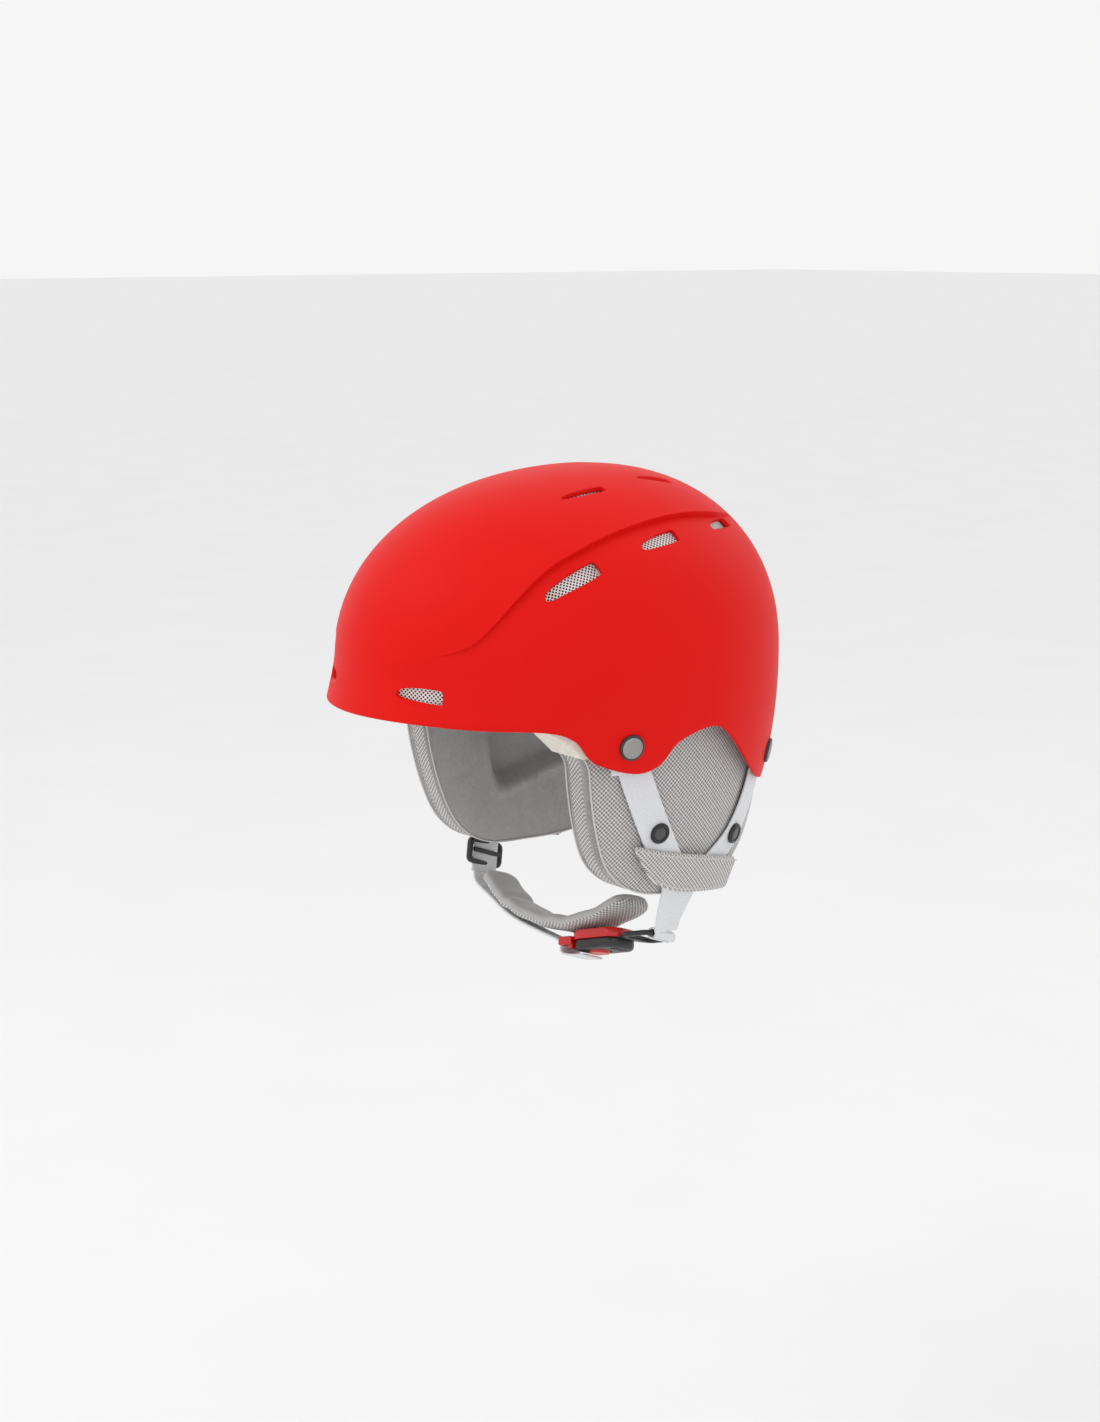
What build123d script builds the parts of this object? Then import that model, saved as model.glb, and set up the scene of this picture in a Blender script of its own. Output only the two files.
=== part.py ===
from build123d import *
from functools import lru_cache
from math import atan2, cos, degrees, radians, sin, sqrt
import os

# Ski helmet. Millimetres, +Z up, the wearer faces -Y, the wearer's left is +X.
# The origin is on the mid-plane, level with the widest place of the shell, half way along it.

# ---- driving dimensions -------------------------------------------------------------------
HALF_WIDTH = 112.0          # shell, widest level
FRONT = 160.0               # shell, centre of curvature to forehead
REAR = 116.0                # shell, centre of curvature to nape
CENTRE_Y = (REAR - FRONT) / -2.0
CROWN = 108.0               # shell, widest level to crown
DROP = 170.0                # depth at which the shell's lower sides would close
ROUND = 2.2                 # exponent of the superellipse in side view
SHELL = 2.8                 # shell wall
LIP = 5.0                   # how far the brim lip stands forward
LIP_TOP = 4.0
LINER_OUT = 4.0             # foam liner, outer face below the shell's outer face
LINER_IN = 28.0             # foam liner, inner face
PAD = 6.0                   # comfort padding
GAP = 0.05                  # between stacked pieces

EAR_HALF_WIDTH = 99.0       # outer face of the ear pads
EAR_FRONT = 150.0
EAR_REAR = 116.0
EAR_DROP = 215.0
EAR_FLOOR = -150.0
COVER = 2.0                 # mesh cover
FOAM = 16.0                 # depth of cover and foam together
LINING = 20.0               # depth of the whole pad
COLLAR = 5.0                # the fixed collar of the pad sits this far in, behind the rivets
STRAP_OUT = -2.2            # webbing lies just outside the pad
STRAP_IN = -0.4
SLEEVE_OUT = -5.0           # fabric sleeve lies just outside the webbing
SLEEVE_IN = -2.6
FLARE_POINT = (98.0, 20.0, -61.0)   # the ear pads bend outwards about this line
FLARE_SLOPE = -0.213                # fall of that line towards the rear
FLARE_GAP = 0.6

WEBBING = 18.0              # width of the chin webbing
WEB_T = 1.7
RIVET_R = 7.0
SHANK_R = 2.5
TAB_DEPTH = 4.9             # middle of the strap tab below the shell's outer face

# The chin strap hangs in one plane through both ends of the loop, swung a little forward.
LOOP_TURN = 5.0
LOOP_TILT = 22.0
LOOP_ORIGIN = (0.0, 16.0, -138.0)
BUCKLE_AT = (33.0, -34.0)   # in the loop's plane
BUCKLE_ANGLE = 17.0
LADDER_AT = 0.62            # ladder lock, as a share of the straight webbing it slides on
BUCKLE_L, BUCKLE_W, BUCKLE_T = 40.0, 24.0, 12.0
MOUTH_T, BLADE_T, BLADE_DEPTH = 8.4, 1.4, 3.4
NECK = 5.0
RING_L, RING_W, RING_BAR, RING_T = 22.0, 27.0, 3.2, 3.0
CHIN_CENTRE, CHIN_R, CHIN_T, CHIN_W = (-12.0, 55.0), 86.5, 10.0, 31.0
CHIN_FROM, CHIN_TO = -47.0, 38.0    # degrees from straight down, towards the wearer's left first

# ---- outlines in side view (Y, Z) ---------------------------------------------------------
RIM = [(-170, -15), (-133, -16.7), (-107, -19.3), (-77, -22), (-63, -28), (-52, -41), (-28, -49.5),
       (-13, -46), (-2, -34.5), (19, -28.4), (34, -33), (60, -57), (80, -70.5), (104, -75), (150, -68)]
LINER_RIM = [(-170, -14), (-110, -17.5), (-80, -21), (-66, -29), (-56, -40), (-50, -40), (-50, -16),
             (107, -16), (107, -50), (170, -56)]
EAR_PAD = [(-46, -50), (-39, -86), (-27, -113), (-4, -128), (30, -132), (60, -130), (88, -115), (104, -92),
           (105, -70)]
EAR_POCKET = (42.0, -76.0, 29.0, 20.0)      # centre and semi-axes
FRONT_STRAP = [(-36, -40), (-15, -40), (24, -117), (3, -117)]
REAR_STRAP = [(71, -60), (92, -60), (54, -117), (33, -117)]
SLEEVE = [(-21, -94), (21, -107), (70, -119), (63, -137), (28, -131), (-2, -121)]
RIVETS = [(-32.0, -34.7), (91.0, -58.0)]
SNAPS = [(-2.0, -90.0), (63.0, -103.0)]

# ---- vents: centre, direction along the vent, length, width --------------------------------
FRONT_VENTS = [((41.0, -128.0, -3.0), (23.0, 13.0, -2.0), 27.0, 8.0)]
CROWN_VENTS = [((45.5, -18.0, 98.0), (3.0, 31.0, 4.0), 31.0, 7.0),
               ((41.5, 38.0, 101.0), (3.0, 19.0, -3.0), 24.0, 6.0)]
SIDE_VENTS = [((82.0, -56.0, 56.0), (5.5, 32.0, 14.0), 37.0, 10.0),
              ((85.5, 4.0, 74.0), (-1.0, 29.0, 5.0), 30.0, 9.0),
              ((73.0, 60.0, 77.0), (-14.0, 30.0, 0.0), 28.0, 7.0)]

PARTS = {}


# ---- helpers ------------------------------------------------------------------------------
@lru_cache(maxsize=None)
def bowl(width, front, rear, drop, floor, crown=0.0):
    """Solid egg shape: half ellipses in plan, superellipse in side view, flat floor."""
    def arc(height, start, end, count):
        for k in range(count + 1):
            angle = radians(start + (end - start) * k / count)
            yield (width * cos(angle) ** (2 / ROUND), 0, height * sin(angle) ** (2 / ROUND))

    last = degrees(atan2(*[((floor / -drop) ** ROUND) ** 0.5, (1 - (floor / -drop) ** ROUND) ** 0.5]))
    lower = [(r, 0, -z) for r, _, z in arc(drop, 0.0, last, 7)]
    upper = [(0, 0, crown)] + list(arc(crown, 82.0, 0.0, 8))[:-1] if crown else []
    points = [Vector(*p) for p in upper + lower]
    if crown:
        curve = Edge.make_spline(points, tangents=[(1, 0, 0), (-0.6, 0, -1)])
        rest = [points[-1], Vector(0, 0, floor), Vector(0, 0, crown)]
    else:
        curve = Edge.make_spline(points)
        rest = [points[-1], Vector(0, 0, floor), Vector(0, 0, 0), points[0]]
    lines = [Edge.make_line(a, b) for a, b in zip(rest, rest[1:])]
    profile = Face(Wire([curve] + lines))
    half = revolve(profile, axis=Axis.Z, revolution_arc=180)
    if half.center().Y < 0:
        half = mirror(half, about=Plane.XZ)
    back = scale(half, by=(1, rear / width, 1))
    fore = mirror(scale(half, by=(1, front / width, 1)), about=Plane.XZ)
    return Pos(0, CENTRE_Y, 0) * (back + fore)


def dome(inset, floor=-100.0, closed=True):
    crown = CROWN - inset if closed else 0.0
    return bowl(HALF_WIDTH - inset, FRONT - inset, REAR - inset, DROP - inset, floor, crown)


def low_dome(inset):
    return dome(inset, floor=-110.0, closed=False)


def ear_bowl(inset):
    return bowl(EAR_HALF_WIDTH - inset, EAR_FRONT - inset, EAR_REAR - inset, EAR_DROP - inset, EAR_FLOOR)


def side_prism(outline, x0, x1, smooth=False):
    """A side-view outline (Y, Z) pushed from x0 to x1."""
    points = [Vector(0, y, z) for y, z in outline]
    if smooth:
        edges = [Edge.make_spline(points), Edge.make_line(points[-1], points[0])]
        face = Face(Wire(edges))
    else:
        face = Face(Wire.make_polygon(points, close=True))
    return Pos(x0, 0, 0) * extrude(face, amount=x1 - x0, dir=(1, 0, 0))


def above(outline, smooth, reach=130.0, top=130.0):
    """Everything above a rim line that runs from front to back."""
    points = [Vector(0, y, z) for y, z in outline]
    ends = [points[-1], Vector(0, points[-1].Y, top), Vector(0, points[0].Y, top), points[0]]
    lines = [Edge.make_line(a, b) for a, b in zip(ends, ends[1:])]
    rim = [Edge.make_spline(points)] if smooth else [Edge.make_line(a, b) for a, b in zip(points, points[1:])]
    face = Face(Wire(rim + lines))
    return Pos(-reach, 0, 0) * extrude(face, amount=2 * reach, dir=(1, 0, 0))


def flare_z(y):
    return FLARE_POINT[2] + FLARE_SLOPE * (y - FLARE_POINT[1])


def flare_prism(up, gap, x0=40.0, x1=125.0):
    """Side of the flare line that a piece is kept on."""
    far = 60.0 if up else -200.0
    outline = [(y, flare_z(y) + gap) for y in (-120.0, 160.0)] + [(160.0, far), (-120.0, far)]
    return side_prism(outline, x0, x1)


def shell_normal(point, width=HALF_WIDTH, front=FRONT, rear=REAR, up=CROWN, down=DROP):
    """Outward normal of the egg shape at a point on it."""
    x, y, z = point
    y -= CENTRE_Y
    depth = rear if y > 0 else front
    across = sqrt((x / width) ** 2 + (y / depth) ** 2)
    fall = across ** (ROUND - 2)
    height = up if z > 0 else down
    nz = (abs(z) / height) ** (ROUND - 1) / height * (1 if z > 0 else -1)
    return Vector(x / width ** 2 * fall, y / depth ** 2 * fall, nz).normalized()


def on_shell(y, z):
    """Point of the shell's outer face at a place in side view, and the plane on it, local Y up."""
    depth = REAR if y > CENTRE_Y else FRONT
    level = (1 - (abs(z) / (CROWN if z > 0 else DROP)) ** ROUND) ** (1 / ROUND)
    x = HALF_WIDTH * sqrt(level ** 2 - ((y - CENTRE_Y) / depth) ** 2)
    return Plane(origin=(x, y, z), x_dir=(0, 1, 0), z_dir=shell_normal((x, y, z)))


def slot_prism(vent, grow=0.0, deep=60.0, out=12.0):
    centre, along, length, width = vent
    normal = shell_normal(centre)
    plane = Plane(origin=Vector(*centre) + normal * out, x_dir=along, z_dir=normal)
    sketch = plane * SlotOverall(length + 2 * grow, width + 2 * grow)
    return extrude(sketch, amount=-(deep + out))


def both_sides(shape):
    return [shape, mirror(shape, about=Plane.YZ)]


def group(shapes):
    solids = [s for shape in shapes for s in shape.solids()]
    return Compound(children=solids) if len(solids) > 1 else solids[0]


def keep(name, shape):
    PARTS[name] = shape


def strip(start, end, across, width, thick):
    """Straight flat webbing between two points."""
    a, b = Vector(*tuple(start)), Vector(*tuple(end))
    plane = Plane(origin=(a + b) * 0.5, x_dir=b - a, z_dir=(b - a).cross(Vector(*across)))
    return plane * Box((b - a).length, width, thick)


def clear_of(shape, *names):
    """The strap with its sewn neighbours cut away, so that they meet face to face."""
    for name in names:
        shape = shape - PARTS[name]
    return shape.solids().sort_by(SortBy.VOLUME)[-1]


# ---- shell --------------------------------------------------------------------------------
def make_shell():
    lip = Pos(0, -LIP, 0) * bowl(HALF_WIDTH - 3, FRONT, REAR, DROP, -100.0, CROWN)
    lip &= Pos(0, 0, LIP_TOP - 100) * Box(300, 400, 200)
    outer = (dome(0) + lip) & above(RIM, smooth=True)
    shell = outer - dome(SHELL, floor=-110)
    for vent in FRONT_VENTS + CROWN_VENTS + SIDE_VENTS:
        for cutter in both_sides(slot_prism(vent, deep=14)):
            shell -= cutter
    for plane in rivet_planes():
        for cutter in both_sides(plane * Cylinder(SHANK_R + GAP, 30)):
            shell -= cutter
    keep("outer_shell", shell.solids().sort_by(SortBy.VOLUME)[-1])

    sheet = dome(SHELL + GAP) - dome(LINER_OUT - GAP, floor=-110)
    for name, vents in (("front", FRONT_VENTS), ("crown", CROWN_VENTS), ("side", SIDE_VENTS)):
        plates = [sheet & slot_prism(vent, grow=2.5, deep=20) for vent in vents]
        keep(f"{name}_vent_grilles", group([p for plate in plates for p in both_sides(plate)]))


def rivet_planes():
    return [on_shell(y, z) for y, z in RIVETS]


def make_rivets():
    rivets, washers = [], []
    for plane in rivet_planes():
        head = plane * (Pos(0, 0, 1.2) * Cylinder(RIVET_R, 2.2))
        shank = plane * (Pos(0, 0, -3.5) * Cylinder(SHANK_R, 8.0))
        rivets += both_sides(head + shank)
        washer = plane * (Pos(0, 0, -TAB_DEPTH - 1.6) * (Cylinder(5.0, 1.2) - Cylinder(SHANK_R + GAP, 3)))
        washers += both_sides(washer)
    keep("strap_rivets", group(rivets))
    keep("rivet_washers", group(washers))


def make_liner():
    liner = (dome(LINER_OUT) & above(LINER_RIM, smooth=False)) - dome(LINER_IN, floor=-110)
    for vent in FRONT_VENTS + CROWN_VENTS + SIDE_VENTS:
        for cutter in both_sides(slot_prism(vent, grow=-1.0, deep=48)):
            liner -= cutter
    keep("foam_liner", liner.solids().sort_by(SortBy.VOLUME)[-1])


def make_comfort_pads():
    sheet = dome(LINER_IN + GAP) - dome(LINER_IN + PAD, floor=-110)
    brow = sheet & Pos(0, -128, -2) * Box(150, 120, 24)
    crown = sheet & Pos(0, 10, 80) * Box(46, 130, 60)
    keep("brow_pad", group([brow]))
    keep("crown_pad", group([crown]))
    side = sheet & Pos(70, 20, 16) * Box(80, 120, 28)
    for name, shape in zip(("left_side_pad", "right_side_pad"), both_sides(side)):
        keep(name, group([shape]))
    nape = sheet & Pos(0, 110, -18) * Box(90, 60, 44)
    keep("nape_pad", group([nape]))


# ---- ear pads, straps and sleeve (made on the left, mirrored to the right) ------------------
def ear_layer(inset, depth, outline):
    return (ear_bowl(inset) - ear_bowl(depth)) & outline


def make_ear_sides():
    body = side_prism([(-46, -16)] + EAR_PAD + [(105, -16)], 40, 125)
    below, over = flare_prism(False, -FLARE_GAP), flare_prism(True, FLARE_GAP)
    lower = body & below
    collar_zone = body & over & Pos(80, 25, -100) * Box(120, 142, 164)
    y, z, semi_y, semi_z = EAR_POCKET
    pocket_face = Plane.YZ * Pos(y, z) * Ellipse(semi_y, semi_z)
    pocket = Pos(40, 0, 0) * extrude(pocket_face, amount=48, dir=(1, 0, 0))

    left = {"ear_collar": ear_layer(COLLAR, FOAM, collar_zone)}
    left["ear_cover"] = ear_layer(0, COVER, lower)
    left["ear_foam"] = ear_layer(COVER + GAP, FOAM, lower) - (pocket & ear_bowl(COVER + 6))
    left["ear_lining"] = ear_layer(FOAM + GAP, LINING, lower) - pocket

    straps = ear_bowl(STRAP_OUT) - ear_bowl(STRAP_IN)
    front = straps & side_prism(FRONT_STRAP, 60, 125) & below
    rear = (straps & side_prism(REAR_STRAP, 50, 125) & below) - side_prism(FRONT_STRAP, 60, 125)
    left["front_strap"] = front
    left["rear_strap"] = rear
    left["strap_sleeve"] = (ear_bowl(SLEEVE_OUT) - ear_bowl(SLEEVE_IN)) & side_prism(SLEEVE, 50, 125)

    snaps = []
    for y, z in SNAPS:
        spot = snap_point(y, z)
        snaps.append(Plane(origin=spot[0], z_dir=spot[1]) * (Pos(0, 0, 1.35) * Cylinder(6.2, 2.4)))
    left["snaps"] = group(snaps)

    tabs = []
    for plane, drop in zip(rivet_planes(), (17.0, 12.0)):
        tab = Pos(0, (6.0 - drop) / 2, -TAB_DEPTH) * Box(17, drop + 6.0, WEB_T)
        tabs.append(plane * (tab - Cylinder(SHANK_R + GAP, 40)))
    left["strap_tabs"] = group(tabs)
    for name, shape in left.items():
        for side, copy in zip(("left", "right"), both_sides(group([shape]))):
            keep(f"{side}_{name}", copy)


def snap_point(y, z):
    """Point and normal on the webbing's outer face, at a place in side view."""
    width, front = EAR_HALF_WIDTH - STRAP_OUT, EAR_FRONT - STRAP_OUT
    rear, drop = EAR_REAR - STRAP_OUT, EAR_DROP - STRAP_OUT
    depth = rear if y > CENTRE_Y else front
    level = (1 - (abs(z) / drop) ** ROUND) ** (1 / ROUND)
    x = width * sqrt(level ** 2 - ((y - CENTRE_Y) / depth) ** 2)
    return (x, y, z), shell_normal((x, y, z), width, front, rear, CROWN, drop)


# ---- chin strap ---------------------------------------------------------------------------
def loop_plane():
    turn, tilt = radians(LOOP_TURN), radians(LOOP_TILT)
    along = Vector(cos(turn), sin(turn), 0)
    rise = Vector(-sin(turn) * sin(tilt), cos(turn) * sin(tilt), cos(tilt))
    return Plane(origin=LOOP_ORIGIN, x_dir=along, z_dir=along.cross(rise))


LOOP = loop_plane()


def loop_point(s, t, w=0.0):
    return LOOP.from_local_coords(Vector(s, t, w))


def buckle_plane():
    """X towards the tongue, Z from the outer face of the buckle to the chin."""
    turn = radians(BUCKLE_ANGLE)
    along = LOOP.x_dir * cos(turn) + LOOP.y_dir * sin(turn)
    inward = LOOP.y_dir * cos(turn) - LOOP.x_dir * sin(turn)
    return Plane(origin=loop_point(*BUCKLE_AT), x_dir=along, z_dir=inward)


BUCKLE = buckle_plane()
STRAP_TOP, STRAP_LOW = loop_point(-86.3, 17.5), loop_point(-77.4, -15.4)    # webbing through the ladder lock


def chin_arc(radius, start, end):
    """Closed outline of a band round the chin: radius is (inner, outer), degrees from straight down."""
    def at(r, angle):
        turn = radians(angle)
        return Vector(CHIN_CENTRE[0] - r * sin(turn), CHIN_CENTRE[1] - r * cos(turn), 0)

    inner, outer = radius
    middle = (start + end) / 2
    edges = [Edge.make_three_point_arc(at(outer, start), at(outer, middle), at(outer, end)),
             Edge.make_line(at(outer, end), at(inner, end)),
             Edge.make_three_point_arc(at(inner, end), at(inner, middle), at(inner, start)),
             Edge.make_line(at(inner, start), at(outer, start))]
    return Face(Wire(edges))


def band(points, width, thick):
    """Webbing along a path in the loop's plane."""
    path = Wire([Edge.make_spline([Vector(s, t, 0) for s, t in points])])
    face = trace(path, line_width=thick)
    return LOOP * extrude(Sketch() + face, amount=width / 2, both=True)


def make_chin_strap():
    inner, outer = CHIN_R - CHIN_T / 2, CHIN_R + CHIN_T / 2
    shape = extrude(chin_arc((inner, outer), CHIN_FROM, CHIN_TO), amount=CHIN_W / 2, both=True)
    core = extrude(chin_arc((inner + 1.5, outer - 1.5), CHIN_FROM + 1.5, CHIN_TO - 1.5),
                   amount=CHIN_W / 2 - 1.5, both=True)
    keep("chin_pad_cover", LOOP * (shape - core))
    keep("chin_pad_foam", LOOP * core)

    arc = [(CHIN_CENTRE[0] - r * sin(radians(a)), CHIN_CENTRE[1] - r * cos(radians(a)))
           for a, r in ((30, outer + 3.2), (18, outer + 2.2), (6, outer + 1.8))]
    keep("chin_webbing", band([(-77.2, -16.0), (-72.5, -21.8)] + arc + [(9.2, -40.9)], WEBBING, WEB_T))
    yoke = strip(STRAP_TOP, STRAP_LOW, LOOP.z_dir, WEBBING, WEB_T)
    keep("right_yoke", clear_of(yoke, "right_strap_sleeve", "right_ear_cover"))


def make_buckle():
    half = BUCKLE_L / 2
    body = Box(BUCKLE_L - 6, BUCKLE_W, BUCKLE_T / 2 - 0.1)
    body = fillet(body.edges().filter_by(Axis.Z), 5)
    mouth = Pos(half - 6, 0, 0) * Box(16, BUCKLE_W - 5, MOUTH_T)
    hollow = Pos(-2, 0, 0) * Box(BUCKLE_L - 16, BUCKLE_W - 6, MOUTH_T)
    lower = Pos(3, 0, -BUCKLE_T / 4 - 0.05) * body - mouth - hollow
    upper = Pos(3, 0, BUCKLE_T / 4 + 0.05) * body - mouth - hollow
    button_hole = Pos(-1, 0, -6) * Cylinder(6.0, 8)
    keep("buckle_cover", BUCKLE * (lower - button_hole))
    tail = Pos(-half + 3, 0, 0) * Box(13, BUCKLE_W - 2, 5) - Pos(-half + 0.5, 0, 0) * Box(4, WEBBING + 1, 9)
    keep("buckle_base", BUCKLE * group_fuse([upper, tail - lower]))
    button = Pos(-1, 0, -3.9) * Cylinder(5.6, 4.0) + Pos(-1, 0, -2.2) * Cylinder(7.0, 1.2)
    keep("buckle_button", BUCKLE * button)
    spring = Pos(-1, 0, 1.2) * (Cylinder(3.0, 5.2) - Cylinder(2.2, 6))
    keep("buckle_spring", BUCKLE * spring)
    blade = Pos(half - BLADE_DEPTH / 2 + NECK / 2, 0, 0) * Box(BLADE_DEPTH + NECK, 14, BLADE_T)
    ring_x = half + NECK + RING_L / 2
    ring = Box(RING_L, RING_W, RING_T) - Box(RING_L - 2 * RING_BAR, RING_W - 2 * RING_BAR, 2 * RING_T)
    ring = fillet(ring.edges().filter_by(Axis.Z), 1.2)
    keep("buckle_tongue", BUCKLE * (blade + Pos(ring_x, 0, 0) * ring))
    fold = Pos(-half + 3, 0, -BUCKLE_T / 2 - 1.3) * Box(20, WEBBING, WEB_T)
    keep("webbing_end_fold", BUCKLE * fold)

    bar = BUCKLE.from_local_coords(Vector(half + NECK + RING_L - RING_BAR / 2, 0, 0))
    low = bar + Vector(1.9, 0.7, 4.0)
    yoke = strip((86.8, 22.0, -119.6), low, LOOP.z_dir, WEBBING, WEB_T)
    keep("left_yoke", clear_of(yoke, "left_strap_sleeve", "left_ear_cover"))


def group_fuse(shapes):
    total = shapes[0]
    for shape in shapes[1:]:
        total = total + shape
    return total


def make_ladder_lock():
    run = STRAP_LOW - STRAP_TOP
    plane = Plane(origin=STRAP_TOP + run * LADDER_AT, x_dir=run, z_dir=run.cross(LOOP.z_dir))
    rails = [Pos(0, side * 12.2, 0) * Box(14, 3.6, 4.4) for side in (-1, 1)]
    bars = [Pos(x, 0, z) * Box(3.2, 24, 1.6) for x, z in ((-5.4, 2.0), (5.4, 2.0), (0, -2.0))]
    keep("ladder_lock", plane * group_fuse(rails + bars))


# ---- rear fit system ----------------------------------------------------------------------
def make_fit_system():
    belt = low_dome(33.0) - low_dome(34.2)
    left = belt & Pos(70, 45, -45) * Box(100, 84, 10)
    for side, shape in zip(("left", "right"), both_sides(group([left]))):
        keep(f"{side}_fit_band", shape)
    cradle = low_dome(35.0) - low_dome(36.6)
    arms = cradle & Pos(0, 90, -45) * Box(200, 60, 10)
    plate = cradle & Pos(0, 90, -66) * Box(58, 60, 36)
    keep("fit_cradle", group([arms + plate]))
    pad = (low_dome(36.8) - low_dome(41.0)) & Pos(0, 90, -66) * Box(52, 60, 30)
    keep("occiput_pad", group([pad]))
    back = Plane(origin=(0, 98.6, -72.0), x_dir=(1, 0, 0), z_dir=(0, 1, 0))
    housing = back * (Pos(0, 0, 3.0) * (Cylinder(15.0, 6.0) - Pos(0, 0, 1.5) * Cylinder(11.0, 4.0)
                                        - Cylinder(3.1, 12)))
    keep("dial_housing", housing)
    axle = back * (Pos(0, 0, 6.5) * Cylinder(3.0, 13.0))
    keep("dial_axle", axle)
    knob = Pos(0, 0, 10.2) * Cylinder(13.0, 7.6) - Pos(0, 0, 9) * Cylinder(3.05, 14)
    ribs = [Rot(0, 0, 30 * k) * Pos(13.4, 0, 10.2) * Cylinder(1.8, 9) for k in range(12)]
    keep("dial_knob", back * (knob - group_fuse(ribs)))


# ---- goggle strap retainer at the back ------------------------------------------------------
def make_goggle_retainer():
    wall_y = CENTRE_Y + REAR
    base = Pos(0, wall_y + 1.7, -20) * Box(24, 2.8, 58)
    ears = [Pos(x, wall_y + 6.0, 9) * Box(3, 7.5, 8) for x in (-10.5, 10.5)]
    base = group_fuse([base] + ears)
    pin_plane = Plane(origin=(0, wall_y + 7.2, 9), x_dir=(0, 1, 0), z_dir=(1, 0, 0))
    base -= pin_plane * Cylinder(1.3, 40)
    keep("goggle_clip_base", base)
    keep("goggle_clip_pin", pin_plane * Cylinder(1.25, 24))
    arm = Pos(0, wall_y + 10.2, -18) * Box(17, 2.4, 52)
    eye = pin_plane * Cylinder(3.4, 17)
    catch = Pos(0, wall_y + 7.0, -45) * Box(15, 7.0, 2.6)
    arm = group_fuse([arm, eye, catch]) - pin_plane * Cylinder(1.3, 40)
    keep("goggle_clip", arm)
    studs = [Pos(0, wall_y + 0.6, z) * Rot(90, 0, 0) * Cylinder(2.0, 5.4) for z in (-6, -34)]
    for stud in studs:
        PARTS["goggle_clip_base"] -= stud
        PARTS["outer_shell"] -= stud
        PARTS["foam_liner"] -= stud
    keep("goggle_clip_rivets", group(studs))


def main():
    make_shell()
    make_rivets()
    make_liner()
    make_comfort_pads()
    make_ear_sides()
    make_chin_strap()
    make_buckle()
    make_ladder_lock()
    make_fit_system()
    make_goggle_retainer()
    os.makedirs("parts", exist_ok=True)
    for name, shape in PARTS.items():
        export_step(shape, f"parts/{name}.step")
        print(name, len(shape.solids()), round(shape.volume))


if __name__ == "__main__":
    main()
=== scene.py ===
"""Ski helmet: the looks of every visible piece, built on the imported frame. Outlines are in millimetres."""

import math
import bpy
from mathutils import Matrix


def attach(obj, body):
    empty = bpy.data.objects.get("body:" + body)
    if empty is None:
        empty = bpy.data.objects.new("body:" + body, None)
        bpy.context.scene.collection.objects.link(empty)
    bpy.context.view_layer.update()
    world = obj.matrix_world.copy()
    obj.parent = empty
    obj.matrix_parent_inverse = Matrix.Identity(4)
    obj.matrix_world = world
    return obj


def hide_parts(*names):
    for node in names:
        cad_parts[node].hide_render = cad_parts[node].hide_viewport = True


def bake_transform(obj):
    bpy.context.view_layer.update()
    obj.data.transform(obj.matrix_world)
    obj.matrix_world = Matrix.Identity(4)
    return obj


bl_info = {
    "name": "Ski helmet",
    "version": (1, 0, 0),
    "blender": (4, 5, 0),
    "location": "3D View > Sidebar > Helmet",
    "description": "Builds the helmet's shell, pads, straps, buckle, materials and stage on the packed frame",
    "category": "Add Mesh",
}

import bmesh
import bpy
import numpy as np
from bpy.props import FloatProperty, FloatVectorProperty, IntProperty, PointerProperty
from mathutils import Matrix, Vector

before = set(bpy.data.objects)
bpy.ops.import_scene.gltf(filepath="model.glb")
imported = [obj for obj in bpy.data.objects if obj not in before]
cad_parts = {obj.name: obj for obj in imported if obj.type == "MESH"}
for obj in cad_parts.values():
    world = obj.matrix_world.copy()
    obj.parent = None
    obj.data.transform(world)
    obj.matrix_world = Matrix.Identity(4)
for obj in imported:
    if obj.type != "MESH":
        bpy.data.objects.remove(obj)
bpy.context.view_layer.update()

MM = 0.001
ROUND = 2.2
CENTRE_Y = 22.0
SHELL = {"width": 112.0, "front": 160.0, "rear": 116.0, "up": 108.0, "down": 170.0}
EAR = {"width": 99.0, "front": 150.0, "rear": 116.0, "up": 108.0, "down": 215.0}
WALL = 2.8
LINING = 20.0
RIM = [(-170, -15), (-133, -16.7), (-107, -19.3), (-77, -22), (-63, -28), (-52, -41), (-28, -49.5),
       (-13, -46), (-2, -34.5), (19, -28.4), (34, -33), (60, -57), (80, -70.5), (104, -75), (150, -68)]
STEP_LINE = [(-90, 14), (-70, 16), (-56, 24), (-50, 38), (-44, 54), (-37, 66), (-20, 79), (4, 84.5), (38, 80),
             (60, 75), (90, 72)]
VENTS = [((41.0, -128.0, -3.0), (23.0, 13.0, -2.0), 27.0, 8.0),
         ((45.5, -18.0, 98.0), (3.0, 31.0, 4.0), 29.0, 5.0),
         ((41.5, 38.0, 101.0), (3.0, 19.0, -3.0), 22.0, 4.5),
         ((82.0, -56.0, 56.0), (5.5, 32.0, 14.0), 36.0, 9.0),
         ((85.5, 4.0, 74.0), (-1.0, 29.0, 5.0), 27.0, 8.0),
         ((73.0, 60.0, 77.0), (-14.0, 30.0, 0.0), 24.0, 6.0)]
RIVETS = [(-32.0, -34.7), (91.0, -58.0)]
SNAPS = [(-2.0, -90.0), (63.0, -103.0)]
PAD_OUTLINE = [(-46, -19), (-47, -50), (-40, -86), (-28, -112), (-6, -127), (26, -131), (58, -129), (86, -115),
               (103, -92), (105, -62), (102, -19)]
PAD_HEART = (30.0, -74.0)
POCKET = (43.0, -62.0, 33.0, 27.0)
LOOP_TURN, LOOP_TILT = math.radians(5.0), math.radians(22.0)
LOOP_ORIGIN = Vector((0.0, 16.0, -138.0))
BUCKLE_AT, BUCKLE_ANGLE = (33.0, -34.0), math.radians(17.0)
CHIN_CENTRE, CHIN_R = (-12.0, 55.0), 86.5


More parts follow.
